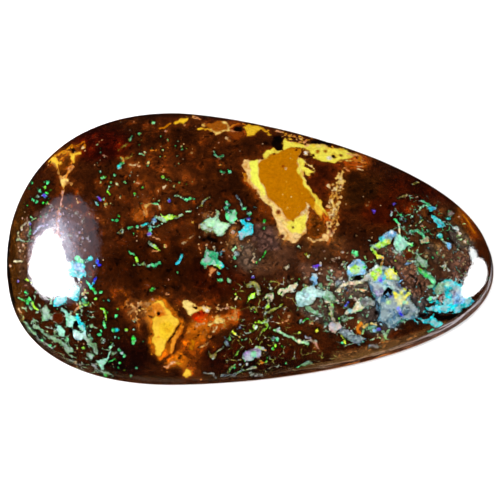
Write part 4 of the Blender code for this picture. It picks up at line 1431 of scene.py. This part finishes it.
# Ramps: the range of a value, and the range that it is carried to.
RAMPS = {
    "mottle": (0.3, 0.7, 0.55, 1.45),
    "grain": (0.28, 0.72, 0.7, 1.35),
    "rusty": (0.003, 0.012, 1.0, 0.2),
    "amber_cloud": (0.52, 0.72, 0.0, 0.7),
    "pebbly": (0.0035, 0.014, 0.0, 1.0),
    "pebble_round": (-0.1, 0.42, -0.75, 0.9),
    "pebble_patch": (0.38, 0.56, 0.15, 1.0),
    "swirl": (0.0, 0.028, 0.8, 0.0),
    "marbling": (0.47, 0.6, 0.0, 1.0),
    "pit": (0.33, 0.41, 0.25, 1.0),
    "pale_grain": (0.1, 0.2, 1.0, 0.0),
    "few_grains": (0.93, 0.94, 0.0, 1.0),
    "thread": (0.38, 0.66, -0.8, 1.1),
    "thread_edge": (-0.05, 0.03, 1.0, 0.0),
    "thread_start": (0.02, 0.12, 0.0, 1.0),
    "opal_grain": (0.25, 0.75, 0.65, 1.4),
    "opal_cloud": (0.3, 0.7, 0.5, 1.5),
    "glint": (0.52, 0.66, 0.0, 0.7),
    "opal_edge": (-1.1, 0.6, 0.0, 1.0),
    "opal_middle": (-2.6, -0.9, 0.45, 0.0),
    "pale_opal": (0.4, 0.6, 0.0, 1.0),
    "clay_cloud": (0.46, 0.64, 0.0, 0.9),
    "clay_grain": (0.25, 0.75, 1.02, 1.38),
    "crack": (0.0, 0.012, 0.7, 0.0),
    "clay_edge": (-1.8, 0.4, 0.0, 0.9),
    "layer_wave": (0.3, 0.7, -0.22, 0.22),
    "layer_streak": (0.25, 0.75, 0.55, 1.5),
    "crumble": (0.2, 0.8, -1.2, 1.2),
    "inside": (-0.4, 0.35, 1.0, 0.0),
    "rim": (0.3, 2.6, -0.7, 0.0),
    "warmth": (0.0, 5.5, 0.6, 0.0),
    "is_clay": (0.0, 0.35, 1.0, 0.0),
    "hole": (0.31, 0.38, 1.0, 0.0),
    "opal_holes": (0.0, 1.0, 0.15, 0.9),
    "wear": (0.3, 0.7, 0.04, 0.09),
}

# The sockets of a Mix node that carry colours: share, first and second colour, and the result.
MIX_SHARE = 0
MIX_FIRST = 6
MIX_SECOND = 7
MIX_RESULT = 2


class Nodes:
    """Short calls for building one node tree."""

    def __init__(self, tree):
        self.tree = tree

    def put(self, socket, value):
        if isinstance(value, bpy.types.NodeSocket):
            self.tree.links.new(value, socket)
        else:
            socket.default_value = value

    def operation(self, kind, name, values):
        node = self.tree.nodes.new(kind)
        node.operation = name
        for socket, value in zip(node.inputs, values):
            self.put(socket, value)
        return node.outputs[0]

    def maths(self, name, *values):
        return self.operation("ShaderNodeMath", name, values)

    def vector(self, name, *values):
        return self.operation("ShaderNodeVectorMath", name, values)

    def product(self, first, second):
        return self.maths("MULTIPLY", first, second)

    def off_middle(self, value, middle):
        """How far a value is from a middle one, either way."""
        return self.maths("ABSOLUTE", self.maths("SUBTRACT", value, middle))

    def ramp(self, value, low, high, to_low=0.0, to_high=1.0):
        """value carried smoothly from the range low..high to the range to_low..to_high."""
        node = self.tree.nodes.new("ShaderNodeMapRange")
        node.interpolation_type = "SMOOTHSTEP"
        for socket, number in zip(node.inputs, (value, low, high, to_low, to_high)):
            self.put(socket, number)
        return node.outputs[0]

    def ramped(self, value, name):
        return self.ramp(value, *RAMPS[name])

    def mix(self, share, first, second, blend="MIX"):
        node = self.tree.nodes.new("ShaderNodeMix")
        node.data_type = "RGBA"
        node.blend_type = blend
        node.clamp_factor = True
        self.put(node.inputs[MIX_SHARE], share)
        self.put(node.inputs[MIX_FIRST], first)
        self.put(node.inputs[MIX_SECOND], second)
        return node.outputs[MIX_RESULT]

    def times(self, colour, factors):
        return self.mix(1.0, colour, factors, "MULTIPLY")

    def scaled(self, colour, factor):
        node = self.tree.nodes.new("ShaderNodeVectorMath")
        node.operation = "SCALE"
        self.put(node.inputs[0], colour)
        self.put(node.inputs["Scale"], factor)
        return node.outputs[0]

    def texture(self, kind, place, size):
        """A texture whose bumps or cells are about size millimetres wide."""
        node = self.tree.nodes.new(kind)
        self.put(node.inputs["Vector"], place)
        node.inputs["Scale"].default_value = 1.0 / (size * MM)
        return node

    def noise(self, place, name):
        """The noise of that name: its value first, and its colour by name."""
        size, detail, roughness, distortion = NOISES[name]
        node = self.texture("ShaderNodeTexNoise", place, size)
        node.inputs["Detail"].default_value = detail
        node.inputs["Roughness"].default_value = roughness
        node.inputs["Distortion"].default_value = distortion
        return node.outputs

    def ramped_noise(self, place, name):
        """The noise of that name, carried over by the ramp of the same name."""
        return self.ramped(self.noise(place, name)[0], name)

    def attribute(self, name):
        node = self.tree.nodes.new("ShaderNodeAttribute")
        node.attribute_name = name
        return node.outputs

    def parts(self, vector):
        node = self.tree.nodes.new("ShaderNodeSeparateXYZ")
        self.put(node.inputs[0], vector)
        return node.outputs


def shade(red, green, blue):
    """A screen colour from 0 to 255 as the reflectance that shows it under the lamps."""
    return (*linear(np.array((red, green, blue)) / 255), 1.0)


def bent_pebbles(nodes, place, size):
    """How far each place is from the edge of its pebble, with pebbles bent out of shape."""
    shift = nodes.noise(place, "pebble_bend")["Color"]
    bent = nodes.vector("MULTIPLY_ADD", shift, (PEBBLE_BEND * MM,) * 3, place)
    pebbles = nodes.texture("ShaderNodeTexVoronoi", bent, size)
    pebbles.feature = "DISTANCE_TO_EDGE"
    return pebbles.outputs["Distance"]


def mottled_ground(nodes, place, tint, rusty):
    """The brown stone's first tone: mottled and grainy, with amber clouds where it is rusty."""
    colour = nodes.scaled(tint, nodes.ramped_noise(place, "mottle"))
    colour = nodes.scaled(colour, nodes.ramped_noise(place, "grain"))
    share = nodes.product(nodes.ramped_noise(place, "amber_cloud"), rusty)
    return nodes.mix(share, colour, nodes.times(colour, AMBER_CLOUD))


def pebbled(nodes, place, colour, blueness):
    """Small rounded pebbles, in patches, where the stone isn't rusty."""
    rounded = nodes.ramped(bent_pebbles(nodes, place, SMALL_PEBBLE), "pebble_round")
    share = nodes.product(nodes.ramped(blueness, "pebbly"), nodes.ramped_noise(place, "pebble_patch"))
    return nodes.scaled(colour, nodes.maths("MULTIPLY_ADD", share, rounded, 1.0))


def swirled(nodes, place, colour, rusty):
    """Thin pale swirls, in patches, where the stone is rusty."""
    off_swirl = nodes.off_middle(nodes.noise(place, "swirl")[0], SWIRL_MIDDLE)
    where = nodes.product(nodes.ramped_noise(place, "marbling"), rusty)
    share = nodes.product(nodes.ramped(off_swirl, "swirl"), where)
    return nodes.mix(share, colour, nodes.times(colour, PALE_SWIRL))


def with_pale_grains(nodes, place, colour):
    grains = nodes.texture("ShaderNodeTexVoronoi", place, PALE_GRAIN_SIZE).outputs
    small = nodes.ramped(grains["Distance"], "pale_grain")
    chosen = nodes.ramped(nodes.parts(grains["Color"])[0], "few_grains")
    return nodes.mix(nodes.product(small, chosen), colour, shade(*PALE_GRAIN_TONE))


def ironstone_ground(nodes, place, tint):
    """The brown stone: mottled, grainy and pebbled, with swirls, black specks and a few pale grains."""
    blueness = nodes.parts(tint)[2]
    rusty = nodes.ramped(blueness, "rusty")
    colour = mottled_ground(nodes, place, tint, rusty)
    colour = pebbled(nodes, place, colour, blueness)
    colour = swirled(nodes, place, colour, rusty)
    colour = nodes.scaled(colour, nodes.ramped_noise(place, "pit"))
    return with_pale_grains(nodes, place, colour)


def opal_network(nodes, place, density):
    """Where fine opal runs between the ironstone's pebbles, from 0 to 1, thicker where density is higher."""
    width = nodes.product(nodes.ramped_noise(place, "thread"), nodes.product(density, THREAD_WIDTH))
    reach = nodes.maths("SUBTRACT", bent_pebbles(nodes, place, PEBBLE_SIZE), width)
    return nodes.product(nodes.ramped(reach, "thread_edge"), nodes.ramped(density, "thread_start"))


def play_of_colour(nodes, place, colour):
    """Opal's own unevenness: darker and paler clouds and small turns of hue, with painted pale glints of
    light.
    """
    hue = nodes.noise(place, "opal_hue")["Color"]
    turned = nodes.mix(HUE_TURN, colour, hue, "SOFT_LIGHT")
    turned = nodes.scaled(turned, nodes.ramped_noise(place, "opal_grain"))
    turned = nodes.scaled(turned, nodes.ramped_noise(place, "opal_cloud"))
    # Painted glints: pale spots of light laid over the opal.
    return nodes.mix(nodes.ramped_noise(place, "glint"), turned, shade(*PAINTED_GLINT_TONE))


def opal_body(nodes, place, colour, edge):
    """Opal inside a mark: saturated and dark along its edge, and brightest in the middle."""
    colour = play_of_colour(nodes, place, colour)
    colour = nodes.mix(nodes.ramped(edge, "opal_edge"), colour, nodes.times(colour, DEEP_OPAL))
    pale = nodes.product(nodes.ramped(edge, "opal_middle"), nodes.ramped_noise(place, "pale_opal"))
    return nodes.mix(pale, colour, shade(*PALE_OPAL_TONE))


def clay_body(nodes, place, colour, edge, uneven):
    """Clay inside a mark: browner clouds, grain and thin cracks, and amber along its edge."""
    share = nodes.product(nodes.ramped_noise(place, "clay_cloud"), uneven)
    colour = nodes.mix(share, colour, nodes.times(colour, BROWN_CLAY))
    colour = nodes.scaled(colour, nodes.ramped_noise(place, "clay_grain"))
    off_crack = nodes.off_middle(nodes.noise(place, "crack")[0], CRACK_MIDDLE)
    share = nodes.product(nodes.ramped(off_crack, "crack"), uneven)
    colour = nodes.mix(share, colour, shade(*CRACK_TONE))
    return nodes.mix(nodes.ramped(edge, "clay_edge"), colour, nodes.times(colour, AMBER_CLAY))


def layer_colour(nodes, level):
    """The wall's layers by their height."""
    colour = shade(*WALL_LAYERS[0][1])
    for height, tone in WALL_LAYERS[1:]:
        share = nodes.ramp(level, height - LAYER_BLEND, height + LAYER_BLEND)
        colour = nodes.mix(share, colour, shade(*tone))
    return colour


def tip_wall_reflection(nodes, colour, x, level):
    """Painted reflection on the wall at the narrow end: a grey tone, and one white line of mirrored light in
    it.
    """
    tip = nodes.ramp(x, TIP_REFLECTION_START * MM, TIP_REFLECTION_WHOLE * MM, 0.0, TIP_REFLECTION_SHARE)
    colour = nodes.mix(tip, colour, shade(*TIP_REFLECTION_TONE))
    above = nodes.ramp(level, REFLECTED_STREAK_LEVEL - REFLECTED_STREAK_FADE, REFLECTED_STREAK_LEVEL - REFLECTED_STREAK_HALF)
    below = nodes.ramp(level, REFLECTED_STREAK_LEVEL + REFLECTED_STREAK_HALF, REFLECTED_STREAK_LEVEL + REFLECTED_STREAK_FADE, 1.0, 0.0)
    return nodes.mix(nodes.product(nodes.product(above, below), tip), colour, shade(*REFLECTED_STREAK_TONE))


def wall_strata_and_tip_reflection(nodes, place, ground):
    """Below the dome the wall shows the stone's layers and, at the narrow end, a painted reflection, as
    strong as the layers attribute says.
    """
    x, _y, z = nodes.parts(place)
    along = nodes.vector("MULTIPLY", place, LAYER_FINENESS)
    level = nodes.maths("MULTIPLY_ADD", z, 1.0 / MM, nodes.ramped_noise(along, "layer_wave"))
    # The narrow end's wall gets a painted grey reflection and a painted white line of mirrored light.
    colour = tip_wall_reflection(nodes, layer_colour(nodes, level), x, level)
    colour = nodes.scaled(colour, nodes.ramped_noise(along, "layer_streak"))
    below_top = nodes.ramp(level, WALL_TOP - WALL_TOP_FADE[0], WALL_TOP + WALL_TOP_FADE[1], 1.0, 0.0)
    share = nodes.product(nodes.attribute("layers")["Fac"], below_top)
    share = nodes.product(share, nodes.ramp(z, FOOT_FADE[0] * MM, FOOT_FADE[1] * MM))
    return nodes.mix(share, ground, colour)


def veined_ground(nodes, place):
    """The ironstone with the fine opal threads in it."""
    ground = ironstone_ground(nodes, place, nodes.attribute("ground")["Color"])
    veins = nodes.attribute("veins")
    network = opal_network(nodes, place, veins["Alpha"])
    return nodes.mix(network, ground, play_of_colour(nodes, place, veins["Color"]))


def around_marks(nodes, ground, edge, opal):
    """The ironstone beside the marks: darker along opal, and warmer along clay."""
    around = nodes.scaled(ground, nodes.maths("MULTIPLY_ADD", nodes.ramped(edge, "rim"), opal, 1.0))
    warmth = nodes.product(nodes.ramped(edge, "warmth"), nodes.ramped(opal, "is_clay"))
    return nodes.mix(warmth, around, nodes.times(ground, WARM_GROUND))


def laid_marks(nodes, place, ground, edge, opal, uneven):
    """Opal and clay inside their marks, with small holes where the ironstone shows."""
    paint = nodes.attribute("paint")["Color"]
    clay = clay_body(nodes, place, paint, edge, uneven)
    laid = nodes.mix(opal, clay, opal_body(nodes, place, paint, edge))
    hole = nodes.product(nodes.ramped_noise(place, "hole"), nodes.ramped(opal, "opal_holes"))
    return nodes.mix(hole, laid, ground)


def stone_colour(nodes, place):
    """The ironstone, the marks on it with crumbled edges, and over both the wall's layers with a painted
    reflection at the narrow end.
    """
    edge, opal, uneven = nodes.parts(nodes.attribute("marks")["Vector"])
    edge = nodes.maths("ADD", edge, nodes.ramped_noise(place, "crumble"))
    ground = veined_ground(nodes, place)
    around = around_marks(nodes, ground, edge, opal)
    laid = laid_marks(nodes, place, ground, edge, opal, uneven)
    return wall_strata_and_tip_reflection(nodes, place, nodes.mix(nodes.ramped(edge, "inside"), around, laid))


def polish(nodes, place, shader):
    """A clear coat over worn stone, and faint lumps under both."""
    shader.inputs["Metallic"].default_value = 0.0
    shader.inputs["IOR"].default_value = STONE_IOR
    shader.inputs["Coat Weight"].default_value = 1.0
    shader.inputs["Coat IOR"].default_value = COAT_IOR
    shader.inputs["Coat Roughness"].default_value = COAT_ROUGHNESS
    nodes.put(shader.inputs["Roughness"], nodes.ramped_noise(place, "wear"))
    bump = nodes.tree.nodes.new("ShaderNodeBump")
    bump.inputs["Strength"].default_value = 1.0
    bump.inputs["Distance"].default_value = BUMP_DEPTH * MM
    nodes.put(bump.inputs["Height"], nodes.noise(place, "lump")[0])
    nodes.put(shader.inputs["Normal"], bump.outputs["Normal"])
    nodes.put(shader.inputs["Coat Normal"], bump.outputs["Normal"])


def stone_material():
    material = bpy.data.materials.new("polished_boulder_opal")
    material.use_nodes = True
    nodes = Nodes(material.node_tree)
    shader = nodes.tree.nodes["Principled BSDF"]
    place = nodes.tree.nodes.new("ShaderNodeTexCoord").outputs["Object"]
    nodes.put(shader.inputs["Base Color"], stone_colour(nodes, place))
    polish(nodes, place, shader)
    return material


def make_stone(points, faces):
    mesh = bpy.data.meshes.new("polished_stone")
    mesh.from_pydata((points * MM).tolist(), [], faces.tolist())
    mesh.update()
    mesh.shade_smooth()
    stone = bpy.data.objects.new("polished_stone", mesh)
    bpy.context.scene.collection.objects.link(stone)
    return stone


def make_floor():
    mesh = bpy.data.meshes.new("floor")
    reach = FLOOR_SIZE / 2 * MM
    corners = [(-reach, -reach, 0), (reach, -reach, 0), (reach, reach, 0), (-reach, reach, 0)]
    mesh.from_pydata(corners, [], [(0, 1, 2, 3)])
    floor = bpy.data.objects.new("floor", mesh)
    material = bpy.data.materials.new("pale_floor")
    material.use_nodes = True
    shader = material.node_tree.nodes["Principled BSDF"]
    shader.inputs["Base Color"].default_value = (FLOOR_WHITE, FLOOR_WHITE, FLOOR_WHITE, 1.0)
    shader.inputs["Roughness"].default_value = FLOOR_ROUGHNESS
    shader.inputs["Specular IOR Level"].default_value = 0.0
    mesh.materials.append(material)
    floor.visible_glossy = False
    bpy.context.scene.collection.objects.link(floor)


def lamp_axes(turn, climb):
    """A lamp's own right, up and outward directions, from its compass turn and climb in degrees."""
    turn = math.radians(turn)
    climb = math.radians(climb)
    out = np.array((math.cos(turn) * math.cos(climb), math.sin(turn) * math.cos(climb), math.sin(climb)))
    right = np.cross((0.0, 0.0, 1.0), out)
    right /= np.linalg.norm(right)
    return right, np.cross(out, right), out


def mirrored_sight(points, normals):
    """The dome's points, and the way that each of them mirrors the camera's line of sight."""
    dome = normals[:, 2] > DOME_NORMAL
    points = points[dome]
    normals = normals[dome]
    sight = camera_place() - points
    sight /= np.linalg.norm(sight, axis=1, keepdims=True)
    return points, 2 * np.sum(normals * sight, axis=1, keepdims=True) * normals - sight


def crossings(points, rays, place, axes):
    """Where rays from the points cross a lamp's plane, along the lamp's right and up from its place."""
    right, up, out = axes
    reach = ((place - points) @ out) / (rays @ out)
    away = points + rays * reach[:, None] - place
    return away @ right, away @ up


def near_lamp(aim, axes, distance, across, tall, points, rays):
    """The place and size of a near lamp that the camera sees mirrored where it would see the far one."""
    right, up, out = axes
    ahead = rays @ out > 0
    points = points[ahead]
    rays = rays[ahead]
    x, y = crossings(points, rays, aim + out * distance, axes)
    lit = np.hypot(x / (across / 2), y / (tall / 2)) < 1
    place = aim + out * NEAR_LAMP
    x, y = crossings(points[lit], rays[lit], place, axes)
    place = place + right * (x.min() + x.max()) / 2 + up * (y.min() + y.max()) / 2
    return place, np.ptp(x), np.ptp(y)


def make_lamp(name, shape, place, out, across, tall, tone, radiance):
    """A soft box that faces back along out, with its own radiance."""
    light = bpy.data.lights.new(name, "AREA")
    light.shape = shape
    light.size = across * MM
    light.size_y = tall * MM
    light.color = tone
    area = across * tall * (math.pi / 4 if shape == "ELLIPSE" else 1.0) * MM * MM
    light.energy = radiance * math.pi * area
    lamp = bpy.data.objects.new(name, light)
    lamp.location = Vector(place) * MM
    lamp.rotation_euler = Vector(out).to_track_quat("Z", "Y").to_euler()
    lamp.visible_camera = False
    bpy.context.scene.collection.objects.link(lamp)
    return lamp


def make_lamps(points, normals):
    points, rays = mirrored_sight(points, normals)
    for name, shape, aim, turn, climb, distance, across, tall, tone, radiance, mirrored in LAMPS:
        aim = np.array(aim)
        axes = lamp_axes(turn, climb)
        lamp = make_lamp(name, shape, aim + axes[2] * distance, axes[2], across, tall, tone, radiance)
        lamp.visible_glossy = False
        if mirrored:
            place, across, tall = near_lamp(aim, axes, distance, across, tall, points, rays)
            lamp = make_lamp(name + "_mirrored", shape, place, axes[2], across, tall, tone, radiance)
            lamp.visible_diffuse = False


def make_world():
    world = bpy.data.worlds.new("studio")
    world.use_nodes = True
    background = world.node_tree.nodes["Background"]
    background.inputs["Color"].default_value = (1.0, 1.0, 1.0, 1.0)
    background.inputs["Strength"].default_value = WORLD_LIGHT
    bpy.context.scene.world = world


def make_camera():
    camera_data = bpy.data.cameras.new("camera")
    camera_data.lens = CAMERA_LENS
    camera_data.sensor_width = SENSOR_WIDTH
    camera_data.clip_start = CAMERA_CLIP * MM
    camera = bpy.data.objects.new("camera", camera_data)
    turned = Matrix(np.column_stack(camera_axes())).to_4x4()
    camera.matrix_world = Matrix.Translation(Vector(camera_place() * MM)) @ turned
    bpy.context.scene.collection.objects.link(camera)
    bpy.context.scene.camera = camera


def build():
    points, faces, underside = stone_surface()
    pixels = photo_pixels(points)
    canvas = paint_stone(pixels)
    normals = point_normals(points, faces)
    make_lamps(points, normals)
    points = soften_surface(points, normals, canvas["pit"], underside, pixels)
    stone = make_stone(points, faces)
    bare_unseen(canvas, points, normals)
    store_canvas(stone.data, canvas, normals)
    stone.data.materials.append(stone_material())
    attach(stone, "root")
    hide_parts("stone")
    make_floor()
    make_world()
    make_camera()
    bpy.context.scene.view_settings.view_transform = "Standard"


build()
